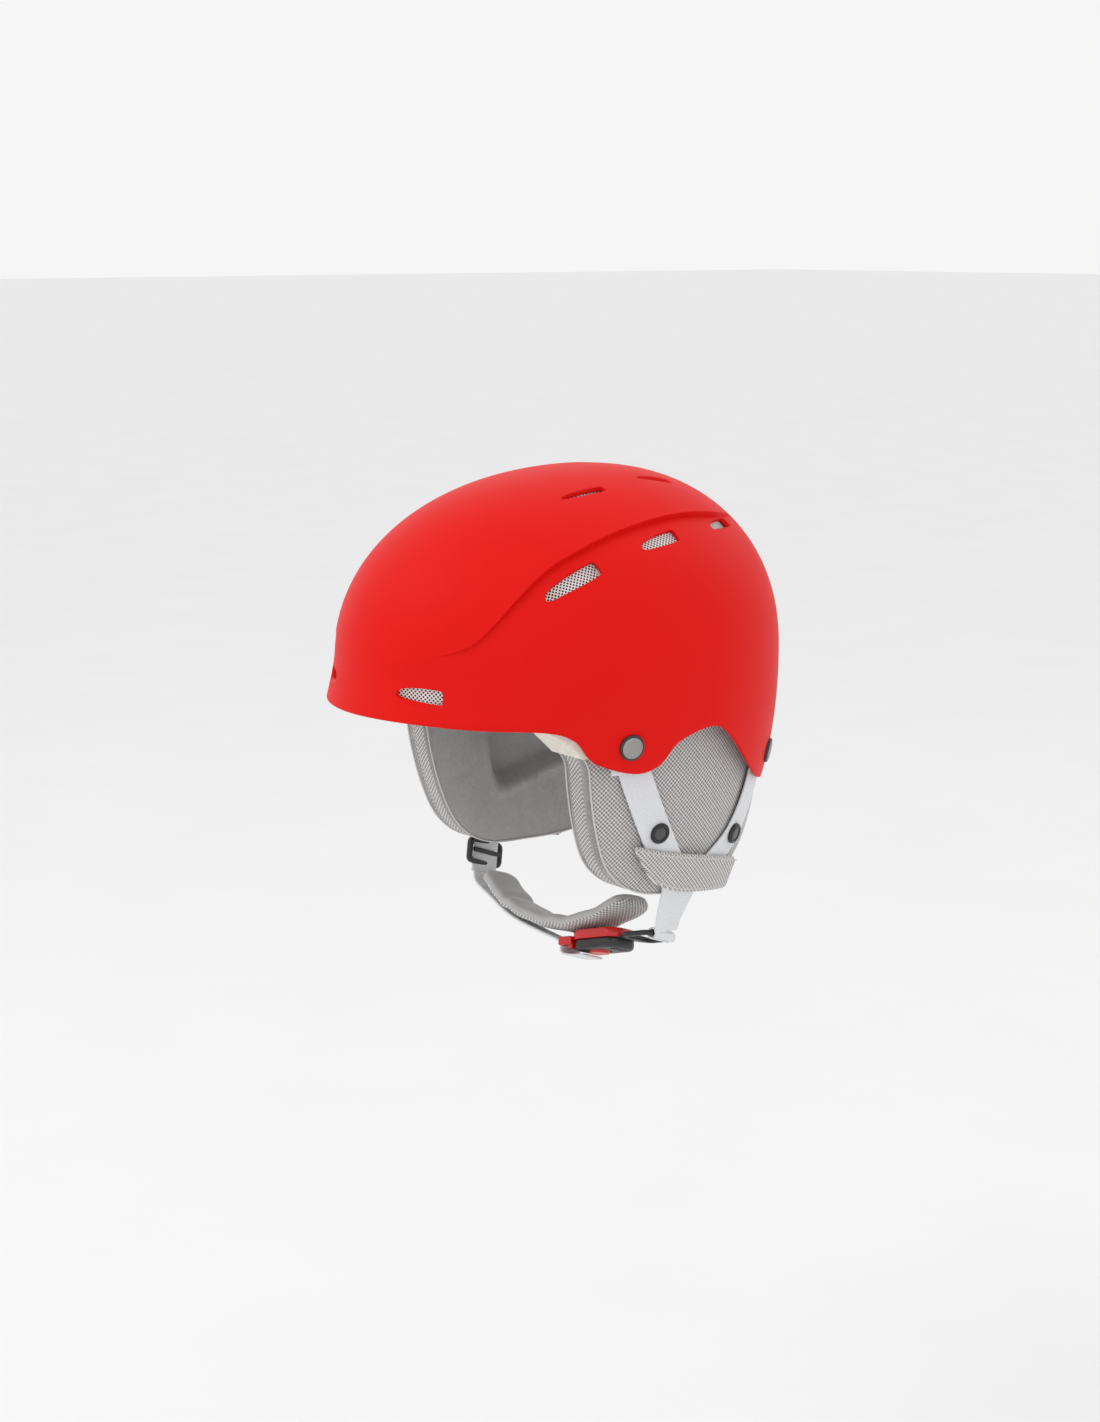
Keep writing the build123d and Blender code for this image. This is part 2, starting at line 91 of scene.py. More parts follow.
# ---- geometry helpers ---------------------------------------------------------------------
def spline(points, count, closed=False):
    """Points of a Catmull-Rom curve through a short list of points."""
    pts = np.array(points, float)
    n = len(pts)
    spans = n if closed else n - 1
    out = []
    for k in range(count):
        t = k / (count if closed else count - 1) * spans
        i = min(int(t), spans - 1)
        f = t - i
        if closed:
            a, b, c, d = (pts[(i + j) % n] for j in (-1, 0, 1, 2))
        else:
            a, b, c, d = (pts[min(max(i + j, 0), n - 1)] for j in (-1, 0, 1, 2))
        out.append(0.5 * (2 * b + (c - a) * f + (2 * a - 5 * b + 4 * c - d) * f ** 2
                          + (3 * b - 3 * c + d - a) * f ** 3))
    return np.array(out)


def egg_normal(points, egg):
    """Outward normals of an egg-shaped surface at points near it."""
    p = np.array(points, float)
    y = p[:, 1] - CENTRE_Y
    depth = np.where(y > 0, egg["rear"], egg["front"])
    height = np.where(p[:, 2] > 0, egg["up"], egg["down"])
    across = np.sqrt((p[:, 0] / egg["width"]) ** 2 + (y / depth) ** 2)
    fall = np.maximum(across, 1e-6) ** (ROUND - 2)
    n = np.stack([p[:, 0] / egg["width"] ** 2 * fall, y / depth ** 2 * fall,
                  np.sign(p[:, 2]) * np.abs(p[:, 2] / height) ** (ROUND - 1) / height], 1)
    return n / np.linalg.norm(n, axis=1, keepdims=True)


def egg_inset(egg, inset):
    return {key: value - inset for key, value in egg.items()}


def egg_side(y, z, egg, inset=0.0):
    """X of the egg's left side at a place in side view."""
    e = egg_inset(egg, inset)
    height = np.where(z > 0, e["up"], e["down"])
    level = np.clip(1 - np.abs(z / height) ** ROUND, 0, 1) ** (1 / ROUND)
    depth = np.where(y > CENTRE_Y, e["rear"], e["front"])
    return e["width"] * np.sqrt(np.clip(level ** 2 - ((y - CENTRE_Y) / depth) ** 2, 1e-4, None))


def egg_front(x, z, egg, inset, rear):
    e = egg_inset(egg, inset)
    height = np.where(z > 0, e["up"], e["down"])
    level = np.clip(1 - np.abs(z / height) ** ROUND, 0, 1) ** (1 / ROUND)
    reach = np.sqrt(np.clip(level ** 2 - (x / e["width"]) ** 2, 1e-4, None))
    return CENTRE_Y + (e["rear"] * reach if rear else -e["front"] * reach)


def egg_top(x, y, egg, inset):
    e = egg_inset(egg, inset)
    depth = np.where(y > CENTRE_Y, e["rear"], e["front"])
    across = np.sqrt((x / e["width"]) ** 2 + ((y - CENTRE_Y) / depth) ** 2)
    return e["up"] * np.clip(1 - across ** ROUND, 0, 1) ** (1 / ROUND)


def quads(rows, cols, wrap, start=0):
    """Faces of a grid of vertices, wrapped round across each row if asked."""
    last = cols if wrap else cols - 1
    return [(start + r * cols + c, start + r * cols + (c + 1) % cols,
             start + (r + 1) * cols + (c + 1) % cols, start + (r + 1) * cols + c)
            for r in range(rows - 1) for c in range(last)]


def make_object(name, points, faces, material, uvs=None, flip=False):
    """A smooth-shaded mesh from points in millimetres, with UVs in millimetres, one per vertex."""
    mesh = bpy.data.meshes.new(name)
    mesh.from_pydata([tuple(p) for p in np.array(points, float) * MM], [], [tuple(f) for f in faces])
    bm = bmesh.new()
    bm.from_mesh(mesh)
    bmesh.ops.recalc_face_normals(bm, faces=bm.faces)
    if flip:
        bmesh.ops.reverse_faces(bm, faces=bm.faces)
    bm.to_mesh(mesh)
    bm.free()
    mesh.polygons.foreach_set("use_smooth", [True] * len(mesh.polygons))
    if uvs is not None:
        layer = mesh.uv_layers.new(name="weave")
        uv = np.array(uvs, float)
        index = np.empty(len(mesh.loops), int)
        mesh.loops.foreach_get("vertex_index", index)
        layer.data.foreach_set("uv", uv[index].ravel())
    mesh.materials.append(material)
    obj = bpy.data.objects.new(name, mesh)
    bpy.context.scene.collection.objects.link(obj)
    return obj


def crisp(obj, angle=38.0):
    obj.data.set_sharp_from_angle(angle=math.radians(angle))
    return obj


def apply_modifiers(obj):
    bpy.context.view_layer.update()
    done = bpy.data.meshes.new_from_object(obj.evaluated_get(bpy.context.evaluated_depsgraph_get()))
    obj.modifiers.clear()
    obj.data = done
    return obj


def subdivide(obj, levels=1):
    obj.modifiers.new("smooth", "SUBSURF").levels = levels
    obj.modifiers["smooth"].render_levels = levels
    return apply_modifiers(obj)


def mirrored(obj, name):
    """A copy of a piece on the wearer's right."""
    twin = obj.copy()
    twin.data = obj.data.copy()
    twin.name = name
    bpy.context.scene.collection.objects.link(twin)
    twin.data.transform(Matrix.Scale(-1, 4, (1, 0, 0)))
    twin.data.flip_normals()
    return twin


def join(name, parts):
    with bpy.context.temp_override(active_object=parts[0], selected_editable_objects=parts):
        bpy.ops.object.join()
    parts[0].name = name
    return parts[0]


def section(width, thick, count=16, power=4.0):
    """Rounded flat cross-section, as (across, up) pairs."""
    out = []
    for k in range(count):
        a = 2 * math.pi * k / count
        c, s = math.cos(a), math.sin(a)
        out.append((math.copysign(abs(c) ** (2 / power), c) * width / 2,
                    math.copysign(abs(s) ** (2 / power), s) * thick / 2))
    return out


def sweep(name, path, normals, width, thick, material, closed=False, power=4.0, count=16, swell=None):
    """A band or bar swept along a path; width and thick may be lists, one value for each point."""
    p, n = np.array(path, float), np.array(normals, float)
    rows = len(p)
    widths, thicks = np.broadcast_to(width, rows), np.broadcast_to(thick, rows)
    if closed:
        tangent = np.roll(p, -1, 0) - np.roll(p, 1, 0)
    else:
        tangent = np.gradient(p, axis=0)
    tangent /= np.linalg.norm(tangent, axis=1, keepdims=True)
    across = np.cross(n, tangent)
    across /= np.linalg.norm(across, axis=1, keepdims=True)
    up = np.cross(tangent, across)
    length = np.concatenate([[0], np.cumsum(np.linalg.norm(np.diff(p, axis=0), axis=1))])
    points, uvs = [], []
    for k in range(rows):
        for a, b in section(widths[k], thicks[k], count, power):
            extra = swell(k / (rows - 1), a / widths[k]) if swell else 0.0
            points.append(p[k] + across[k] * a + up[k] * (b + extra))
            uvs.append((length[k], a))
    faces = quads(rows, count, True)
    if closed:
        faces += [((rows - 1) * count + c, (rows - 1) * count + (c + 1) % count, (c + 1) % count, c)
                  for c in range(count)]
    else:
        faces += [tuple(range(count)), tuple(range((rows - 1) * count, rows * count))]
    return make_object(name, points, faces, material, uvs)


def loaf(name, outline, levels, material, place):
    """A moulded block: one outline, shrunk and raised by (inset, height) levels, in a local frame."""
    shape = np.array(outline, float)
    centre = shape.mean(0)
    radius = np.linalg.norm(shape - centre, axis=1, keepdims=True)
    points, faces, n = [], [], len(shape)
    for inset, height in levels:
        ring = centre + (shape - centre) * (1 - inset / radius)
        points += [place(x, y, height) for x, y in ring]
    faces += quads(len(levels), n, True)
    faces += [tuple(range(n)), tuple(range((len(levels) - 1) * n, len(levels) * n))]
    return make_object(name, points, faces, material, [(p[0], p[1]) for p in points])


def rounded_box(length, width, corner, count=10, x=0.0, y=0.0):
    """Outline of a rectangle with round corners."""
    out = []
    for k, (sx, sy) in enumerate(((1, 1), (-1, 1), (-1, -1), (1, -1))):
        for j in range(count):
            a = math.pi / 2 * (k + j / (count - 1))
            out.append((x + sx * (length / 2 - corner) + corner * math.cos(a),
                        y + sy * (width / 2 - corner) + corner * math.sin(a)))
    return out


def turned(name, profile, material, place, count=48):
    """A turned piece: (radius, height) pairs about a local Z axis."""
    points = [place(r * math.cos(2 * math.pi * c / count), r * math.sin(2 * math.pi * c / count), h)
              for r, h in profile for c in range(count)]
    faces = quads(len(profile), count, True)
    faces += [tuple(range(count)), tuple(range((len(profile) - 1) * count, len(profile) * count))]
    return make_object(name, points, faces, material, [(p[0], p[1]) for p in points])


def surface_frame(y, z, egg, inset=0.0, side=1):
    """Local frame on the egg's side: X rearwards, Y up, Z outwards."""
    x = float(egg_side(np.array(y), np.array(z), egg, inset))
    origin = Vector((x, y, z))
    normal = Vector(egg_normal([(x, y, z)], egg_inset(egg, inset))[0])
    right = Vector((0, 1, 0))
    right = (right - normal * right.dot(normal)).normalized()
    up = normal.cross(right)

    def place(a, b, c):
        point = origin + right * a + up * b + normal * c
        return (point.x * side, point.y, point.z)

    return place


def loop_axes():
    along = Vector((math.cos(LOOP_TURN), math.sin(LOOP_TURN), 0))
    rise = Vector((-math.sin(LOOP_TURN) * math.sin(LOOP_TILT), math.cos(LOOP_TURN) * math.sin(LOOP_TILT),
                   math.cos(LOOP_TILT)))
    return along, rise, along.cross(rise)


def loop_point(s, t, w=0.0):
    along, rise, out = loop_axes()
    return LOOP_ORIGIN + along * s + rise * t + out * w


def buckle_place(x, y, z):
    """Buckle frame: X to the tongue, Z towards the chin, so the outer face is at negative Z."""
    along, rise, _ = loop_axes()
    u = along * math.cos(BUCKLE_ANGLE) + rise * math.sin(BUCKLE_ANGLE)
    inward = rise * math.cos(BUCKLE_ANGLE) - along * math.sin(BUCKLE_ANGLE)
    return tuple(loop_point(*BUCKLE_AT) + u * x + inward.cross(u) * y + inward * z)


# ---- shader node groups ---------------------------------------------------------------------
def node_group(name, inputs, outputs):
    tree = bpy.data.node_groups.new(name, "ShaderNodeTree")
    for label, kind, value in inputs:
        socket = tree.interface.new_socket(label, in_out="INPUT", socket_type=kind)
        if value is not None:
            socket.default_value = value
    for label, kind in outputs:
        tree.interface.new_socket(label, in_out="OUTPUT", socket_type=kind)
    return tree, tree.nodes.new("NodeGroupInput"), tree.nodes.new("NodeGroupOutput")


def math_node(tree, operation, a, b=None, c=None):
    node = tree.nodes.new("ShaderNodeMath")
    node.operation = operation
    for k, value in enumerate((a, b, c)):
        if value is None:
            continue
        if isinstance(value, (int, float)):
            node.inputs[k].default_value = value
        else:
            tree.links.new(value, node.inputs[k])
    return node.outputs[0]


def mix_colour(tree, factor, a, b):
    node = tree.nodes.new("ShaderNodeMix")
    node.data_type = "RGBA"
    for socket, value in ((node.inputs[0], factor), (node.inputs[6], a), (node.inputs[7], b)):
        if hasattr(value, "links"):
            tree.links.new(value, socket)
        else:
            socket.default_value = value
    return node.outputs[2]


def split(tree, vector):
    node = tree.nodes.new("ShaderNodeSeparateXYZ")
    tree.links.new(vector, node.inputs[0])
    return node.outputs


def noise(tree, vector, scale, detail=3.0, rough=0.5):
    node = tree.nodes.new("ShaderNodeTexNoise")
    node.inputs["Scale"].default_value = scale
    node.inputs["Detail"].default_value = detail
    node.inputs["Roughness"].default_value = rough
    tree.links.new(vector, node.inputs["Vector"])
    return node.outputs["Fac"]


def group_net():
    """Open net: rows of holes, every second row shifted, from a position in millimetres."""
    tree, start, end = node_group("Net weave", [("Position", "NodeSocketVector", None),
                                                ("Pitch", "NodeSocketFloat", 2.0),
                                                ("Hole", "NodeSocketFloat", 0.3)],
                                  [("Hole mask", "NodeSocketFloat"), ("Height", "NodeSocketFloat")])
    x, y, _ = split(tree, start.outputs["Position"])
    u = math_node(tree, "DIVIDE", x, start.outputs["Pitch"])
    v = math_node(tree, "DIVIDE", y, start.outputs["Pitch"])
    masks = []
    for shift in (0.0, 0.5):
        fu = math_node(tree, "SUBTRACT", math_node(tree, "FRACT", math_node(tree, "ADD", u, 100 + shift)), 0.5)
        fv = math_node(tree, "SUBTRACT", math_node(tree, "FRACT", math_node(tree, "ADD", v, 100 + shift)), 0.5)
        square = math_node(tree, "ADD", math_node(tree, "MULTIPLY", fu, fu), math_node(tree, "MULTIPLY", fv, fv))
        masks.append(math_node(tree, "SQRT", square))
    near = math_node(tree, "MINIMUM", masks[0], masks[1])
    edge = math_node(tree, "SUBTRACT", start.outputs["Hole"], near)
    hole = math_node(tree, "MULTIPLY_ADD", edge, 9.0, 0.5)
    hole.node.use_clamp = True
    tree.links.new(hole, end.inputs["Hole mask"])
    tree.links.new(math_node(tree, "SUBTRACT", 1.0, hole), end.inputs["Height"])
    return tree


def group_ribs():
    """Webbing: cross ribs with warp threads, from a position in millimetres along and across."""
    tree, start, end = node_group("Webbing ribs", [("Position", "NodeSocketVector", None),
                                                   ("Rib", "NodeSocketFloat", 1.3)],
                                  [("Height", "NodeSocketFloat"), ("Shade", "NodeSocketFloat")])
    x, y, _ = split(tree, start.outputs["Position"])
    turn = 2 * math.pi
    steps = math_node(tree, "DIVIDE", x, start.outputs["Rib"])
    rib = math_node(tree, "SINE", math_node(tree, "MULTIPLY", steps, turn))
    slant = math_node(tree, "ADD", math_node(tree, "MULTIPLY", y, 1.0), math_node(tree, "MULTIPLY", x, 0.6))
    warp = math_node(tree, "SINE", math_node(tree, "MULTIPLY", slant, turn / 1.0))
    height = math_node(tree, "MULTIPLY_ADD", rib, 0.35, 0.5)
    height = math_node(tree, "MULTIPLY_ADD", warp, 0.15, height)
    tree.links.new(height, end.inputs["Height"])
    # Shade darkens the colour in the grooves between the ribs: painted shade.
    tree.links.new(math_node(tree, "MULTIPLY_ADD", height, 0.3, 0.75), end.inputs["Shade"])
    return tree


def group_grain():
    """Fine moulded or matt-paint grain with slow colour drift, from a position in metres."""
    tree, start, end = node_group("Fine grain", [("Position", "NodeSocketVector", None),
                                                 ("Scale", "NodeSocketFloat", 900.0)],
                                  [("Height", "NodeSocketFloat"), ("Drift", "NodeSocketFloat")])
    fine = tree.nodes.new("ShaderNodeTexNoise")
    fine.inputs["Detail"].default_value = 2.0
    tree.links.new(start.outputs["Position"], fine.inputs["Vector"])
    tree.links.new(start.outputs["Scale"], fine.inputs["Scale"])
    tree.links.new(fine.outputs["Fac"], end.inputs["Height"])
    tree.links.new(noise(tree, start.outputs["Position"], 14.0), end.inputs["Drift"])
    return tree


def group_fleece():
    """Brushed fleece: matted fibres over soft tufts, from a position in metres."""
    tree, start, end = node_group("Fleece", [("Position", "NodeSocketVector", None)],
                                  [("Height", "NodeSocketFloat"), ("Shade", "NodeSocketFloat")])
    fibres = noise(tree, start.outputs["Position"], 1300.0, 5.0, 0.75)
    tufts = noise(tree, start.outputs["Position"], 420.0, 4.0, 0.75)
    height = math_node(tree, "ADD", math_node(tree, "MULTIPLY", fibres, 0.5), math_node(tree, "MULTIPLY", tufts, 0.8))
    tree.links.new(height, end.inputs["Height"])
    shade = math_node(tree, "ADD", math_node(tree, "MULTIPLY", tufts, 0.55), math_node(tree, "MULTIPLY", fibres, 0.45))
    tree.links.new(shade, end.inputs["Shade"])
    return tree


GROUPS = {}
MATERIALS = {}


def new_material(name, rough, **sockets):
    """A material with a Principled shader, its tree and its coordinates; constants go straight on the sockets."""
    material = bpy.data.materials.new(name)
    material.use_nodes = True
    tree = material.node_tree
    shader = tree.nodes["Principled BSDF"]
    shader.inputs["Roughness"].default_value = rough
    for label, value in sockets.items():
        shader.inputs[label.replace("_", " ")].default_value = value
    MATERIALS[name] = material
    return tree, shader, tree.nodes.new("ShaderNodeTexCoord").outputs


def use_group(tree, name, **inputs):
    node = tree.nodes.new("ShaderNodeGroup")
    node.node_tree = GROUPS[name]
    for label, value in inputs.items():
        socket = node.inputs[label]
        if hasattr(value, "links"):
            tree.links.new(value, socket)
        else:
            socket.default_value = value
    return node.outputs


def add_bump(tree, shader, height, strength, distance):
    bump = tree.nodes.new("ShaderNodeBump")
    bump.inputs["Strength"].default_value = strength
    bump.inputs["Distance"].default_value = distance
    tree.links.new(height, bump.inputs["Height"])
    tree.links.new(bump.outputs[0], shader.inputs["Normal"])


def colour_between(tree, shader, factor, dark, light):
    tree.links.new(mix_colour(tree, factor, (*dark, 1), (*light, 1)), shader.inputs["Base Color"])


def moulded(name, dark, light, rough, scale=900.0, bump=0.12, **sockets):
    tree, shader, coords = new_material(name, rough, **sockets)
    grain = use_group(tree, "grain", Position=coords["Object"], Scale=scale)
    colour_between(tree, shader, grain["Drift"], dark, light)
    tree.links.new(math_node(tree, "MULTIPLY_ADD", grain["Drift"], 0.16, rough - 0.08), shader.inputs["Roughness"])
    add_bump(tree, shader, grain["Height"], bump, 0.0002)


def net_cloth(name, dark, light, pitch, hole):
    tree, shader, coords = new_material(name, 0.85, Sheen_Weight=0.25)
    net = use_group(tree, "net", Position=coords["UV"], Pitch=pitch, Hole=hole)
    drift = noise(tree, coords["Object"], 160.0)
    lit = mix_colour(tree, drift, (*shade(light, 0.9), 1), (*light, 1))
    # The holes get the dark colour: painted shade for the dark seen through the open weave.
    tree.links.new(mix_colour(tree, net["Hole mask"], lit, (*dark, 1)), shader.inputs["Base Color"])
    add_bump(tree, shader, net["Height"], 0.8, 0.0007)


def shade(colour, share):
    return tuple(channel * share for channel in colour)


def make_materials(finish):
    GROUPS.update(net=group_net(), ribs=group_ribs(), grain=group_grain(), fleece=group_fleece())
    moulded("shell_red", shade(finish.shell, 0.92), tuple(finish.shell), 0.55, scale=2200.0, bump=0.05,
            Specular_IOR_Level=0.14, Sheen_Weight=0.02)
    moulded("black_plastic", (0.010, 0.010, 0.011), (0.018, 0.018, 0.019), 0.38)
    moulded("dark_plastic", (0.016, 0.016, 0.018), (0.030, 0.030, 0.032), 0.44)
    moulded("red_plastic", shade(finish.accent, 0.9), tuple(finish.accent), 0.32, Coat_Weight=0.2)
    moulded("metal_disc", (0.30, 0.29, 0.27), (0.38, 0.37, 0.35), 0.42, scale=1500.0, Metallic=0.85)
    moulded("snap_face", (0.05, 0.05, 0.05), (0.16, 0.16, 0.16), 0.34, Metallic=0.6)
    moulded("steel", (0.45, 0.45, 0.45), (0.55, 0.55, 0.55), 0.35, Metallic=1.0)
    moulded("dark_rim", (0.02, 0.02, 0.02), (0.04, 0.04, 0.04), 0.4)
    # The first colour of each net cloth is painted shade in its holes.
    net_cloth("net_cloth", shade(finish.net, 0.33), tuple(finish.net), 2.6, 0.26)
    net_cloth("sleeve_cloth", (0.24, 0.23, 0.22), (0.74, 0.72, 0.70), 2.5, 0.25)
    net_cloth("grille_white", (0.03, 0.03, 0.03), (0.92, 0.91, 0.89), 2.4, 0.23)
    for name, light in (("webbing", tuple(finish.webbing)), ("stitching", (0.62, 0.61, 0.60))):
        tree, shader, coords = new_material(name, 0.62, Sheen_Weight=0.15)
        ribs = use_group(tree, "ribs", Position=coords["UV"], Rib=1.25)
        # Colour darker in the rib grooves: painted shade.
        colour_between(tree, shader, ribs["Shade"], tuple(c * 0.55 for c in light), light)
        add_bump(tree, shader, ribs["Height"], 0.6, 0.0004)
    for name, dark, light in (("fleece", shade(finish.fleece, 0.38), tuple(finish.fleece)),
                              ("soft_grey", (0.34, 0.335, 0.33), (0.58, 0.57, 0.56)),
                              ("comfort", (0.12, 0.12, 0.125), (0.30, 0.30, 0.305))):
        tree, shader, coords = new_material(name, 0.95, Sheen_Weight=0.35)
        nap = use_group(tree, "fleece", Position=coords["Object"])
        colour_between(tree, shader, nap["Shade"], dark, light)
        add_bump(tree, shader, nap["Height"], 0.6 if name == "fleece" else 0.25, 0.0006)
    tree, shader, coords = new_material("foam_beads", 0.75)
    beads = tree.nodes.new("ShaderNodeTexVoronoi")
    beads.inputs["Scale"].default_value = 320.0
    tree.links.new(coords["Object"], beads.inputs["Vector"])
    colour_between(tree, shader, beads.outputs["Distance"], (0.66, 0.62, 0.55), (0.80, 0.77, 0.70))
    add_bump(tree, shader, beads.outputs["Distance"], 0.3, 0.0004)
    tree, shader, coords = new_material("floor", 0.9)
    colour_between(tree, shader, noise(tree, coords["Object"], 6.0), (0.86, 0.86, 0.86), (0.90, 0.90, 0.90))


# ---- shell ----------------------------------------------------------------------------------
def folded_angle(theta):
    """Plan angle of the left side that matches this one, in degrees: -90 front, 90 rear."""
    return np.degrees(np.arcsin(np.clip(np.sin(theta), -1, 1)))


def shell_point(theta, z):
    level = np.clip(1 - np.abs(z / np.where(z > 0, SHELL["up"], SHELL["down"])) ** ROUND, 0, 1) ** (1 / ROUND)
    sy = np.sin(theta)
    depth = np.where(sy > 0, SHELL["rear"], SHELL["front"])
    return np.stack([SHELL["width"] * level * np.cos(theta), depth * level * sy + CENTRE_Y, z], -1)


def rim_height(theta):
    rim = spline(RIM, 400)
    z = np.full_like(theta, -30.0)
    for _ in range(60):
        y = shell_point(theta, z)[..., 1]
        z = 0.5 * z + 0.5 * np.interp(y, rim[:, 0], rim[:, 1])
    return z


def shell_displacement(theta, drop):
    """Height of the upper crown's edge over the lower shell; drop is millimetres below the step line."""
    fold = folded_angle(theta)
    size = np.interp(fold, [-66, -44, 26, 52], [0.0, 2.3, 2.3, 0.0])
    return np.where(drop < 0, size * np.exp(drop / 26.0), -0.55 * size * np.exp(-drop / 9.0))


def shell_sheet(columns, upper, lower):
    theta = np.linspace(-math.pi / 2, 1.5 * math.pi, columns, endpoint=False)
    fine = spline(STEP_LINE, 300)
    step = np.interp(folded_angle(theta), fine[:, 0], fine[:, 1])
    step = np.convolve(np.concatenate([step[-4:], step, step[:4]]), np.ones(9) / 9, "valid")
    rim = rim_height(theta)
    step_phi = np.arcsin((step / SHELL["up"]) ** (ROUND / 2))
    rows, drops = [], []
    for k in range(upper):
        f = k / upper
        phi = math.pi / 2 - 0.02 - (math.pi / 2 - 0.02 - step_phi) * f
        z = SHELL["up"] * np.sin(phi) ** (2 / ROUND)
        rows.append(z)
        drops.append(-(phi - step_phi) * 115.0)
    for below in (-0.9, -0.15, 0.15, 1.0):
        rows.append(step - below * np.sqrt(np.clip(1 - (step / 118) ** 2, 0.05, 1)))
        drops.append(np.full(columns, below))
    for k in range(1, lower + 1):
        f = (k / lower) ** 1.15
        z = step - 1.2 + (rim - step + 1.2) * f
        rows.append(z)
        drops.append((step - z) * 1.25)
    points = []
    for z, drop in zip(rows, drops):
        base = shell_point(theta, z)
        normal = egg_normal(base, SHELL)
        lift = shell_displacement(theta, drop)
        fold = folded_angle(theta)
        brim = np.interp(fold, [-90, -60, -30], [6.0, 5.0, 0.0])
        down = np.clip((7 - z) / 24, 0, 1)
        lift = lift + brim * down ** 1.5
        points.append(base + normal * lift[:, None])
    return np.array(points)


def make_shell(detail):
    columns = 96 * detail
    outer = shell_sheet(columns, 12 * detail, 16 * detail)
    flat = outer.reshape(-1, 3)
    normals = egg_normal(flat, SHELL).reshape(outer.shape)
    inner = outer - normals * WALL
    edge_mid = (outer[-1] + inner[-1]) / 2
    down = np.array([0, 0, -1.0])
    rounding = [outer[-1] * 0.86 + inner[-1] * 0.14 + down * 0.9, edge_mid + down * 1.3,
                outer[-1] * 0.14 + inner[-1] * 0.86 + down * 0.9]
    rings = np.concatenate([outer, np.array(rounding), inner[::-1]])
    points = np.concatenate([rings.reshape(-1, 3), [[0, CENTRE_Y, SHELL["up"]], [0, CENTRE_Y, SHELL["up"] - WALL]]])
    total = len(rings)
    faces = quads(total, columns, True)
    top, bottom = len(points) - 2, len(points) - 1
    faces += [(top, (c + 1) % columns, c) for c in range(columns)]
    last = (total - 1) * columns
    faces += [(bottom, last + c, last + (c + 1) % columns) for c in range(columns)]
    shell = make_object("shell", points, faces, MATERIALS["shell_red"])
    cutters = []
    for k, vent in enumerate(VENTS):
        for side in (1, -1):
            cutters.append(vent_prism(f"cut_{k}_{side}", vent, side))
    for y, z in RIVETS:
        for side in (1, -1):
            place = surface_frame(y, z, SHELL, side=side)
            cutters.append(turned("cut_rivet", [(2.6, -9), (2.6, 6)], MATERIALS["shell_red"], place, 24))
    cutter = join("cutters", cutters)
    boolean = shell.modifiers.new("vents", "BOOLEAN")
    boolean.operation = "DIFFERENCE"
    boolean.solver = "EXACT"
    boolean.object = cutter
    apply_modifiers(shell)
    bpy.data.objects.remove(cutter)
    crisp(shell, 33)
    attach(shell, "helmet")
    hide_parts("outer_shell")


def vent_frame(vent, side):
    centre, along = vent[:2]
    origin = Vector(centre)
    normal = Vector(egg_normal([centre], SHELL)[0])
    right = Vector(along)
    right = (right - normal * right.dot(normal)).normalized()
    up = normal.cross(right)

    def place(a, b, c):
        point = origin + right * a + up * b + normal * c
        return (point.x * side, point.y, point.z)

    return place


def vent_outline(vent, grow):
    """Slot with a narrow front end and a blunt rear end."""
    length, width = vent[2] + 2 * grow, vent[3] + 2 * grow
    shape = [(-0.5, -0.10), (-0.42, 0.22), (-0.1, 0.44), (0.3, 0.5), (0.47, 0.46), (0.5, 0.25), (0.5, -0.3),
             (0.46, -0.48), (0.2, -0.5), (-0.25, -0.42), (-0.46, -0.32)]
    return [(a * length, b * width) for a, b in spline(shape, 44, closed=True)]


def vent_prism(name, vent, side):
    place = vent_frame(vent, side)
    points = []
    levels = ((0.0, -9.0), (0.0, -0.9), (0.35, -0.3), (1.2, 0.5), (3.5, 4.0))
    for grow, height in levels:
        points += [place(a, b, height) for a, b in vent_outline(vent, grow)]
    faces = quads(len(levels), 44, True) + [tuple(range(44)), tuple(range(4 * 44, 5 * 44))]
    return make_object(name, points, faces, MATERIALS["shell_red"])


def make_grilles():
    groups = {"front_vent_grilles": VENTS[:1], "crown_vent_grilles": VENTS[1:3], "side_vent_grilles": VENTS[3:]}
    for name, vents in groups.items():
        plates = []
        for vent in vents:
            for side in (1, -1):
                place = vent_frame(vent, side)
                plates.append(grille_plate(name, vent, place))
        grille = join(name.replace("grilles", "screens"), plates)
        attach(grille, "helmet")
        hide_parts(name)


def grille_plate(name, vent, place):
    """A thin plate behind a vent that follows the shell's curve."""
    length, width = vent[2] + 5, vent[3] + 5
    rows, cols = 7, 17
    points, uvs = [], []
    for depth in (3.1, 3.8):
        for r in range(rows):
            for c in range(cols):
                a, b = (c / (cols - 1) - 0.5) * length, (r / (rows - 1) - 0.5) * width
                sag = (a * a + b * b) / (2 * 118.0)
                points.append(place(a, b, -depth - sag))
                uvs.append((a, b))
    count = rows * cols
    faces = quads(rows, cols, False) + quads(rows, cols, False, count)
    border = ([c for c in range(cols)] + [r * cols + cols - 1 for r in range(1, rows)]
              + [(rows - 1) * cols + c for c in range(cols - 2, -1, -1)] + [r * cols for r in range(rows - 2, 0, -1)])
    faces += [(a, b, b + count, a + count) for a, b in zip(border, border[1:] + border[:1])]
    return make_object(name, points, faces, MATERIALS["grille_white"], uvs)


def make_rivets():
    heads = []
    for y, z in RIVETS:
        for side in (1, -1):
            place = surface_frame(y, z, SHELL, side=side)
            ring = [(7.2, -0.4), (7.4, 0.2), (7.2, 1.2), (6.5, 1.6), (6.1, 1.3), (6.0, 0.9)]
            cap = [(6.1, 0.5), (6.05, 1.5), (5.7, 1.85), (4.0, 2.1), (1.5, 2.2), (0.3, 2.2)]
            heads.append(turned("rim", ring, MATERIALS["dark_rim"], place))
            heads.append(turned("cap", cap, MATERIALS["metal_disc"], place))
            heads.append(turned("shank", [(2.5, -8), (2.5, 0.6)], MATERIALS["metal_disc"], place, 24))
    rivets = join("strap_rivet_set", heads)
    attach(crisp(rivets), "helmet")
    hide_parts("strap_rivets")


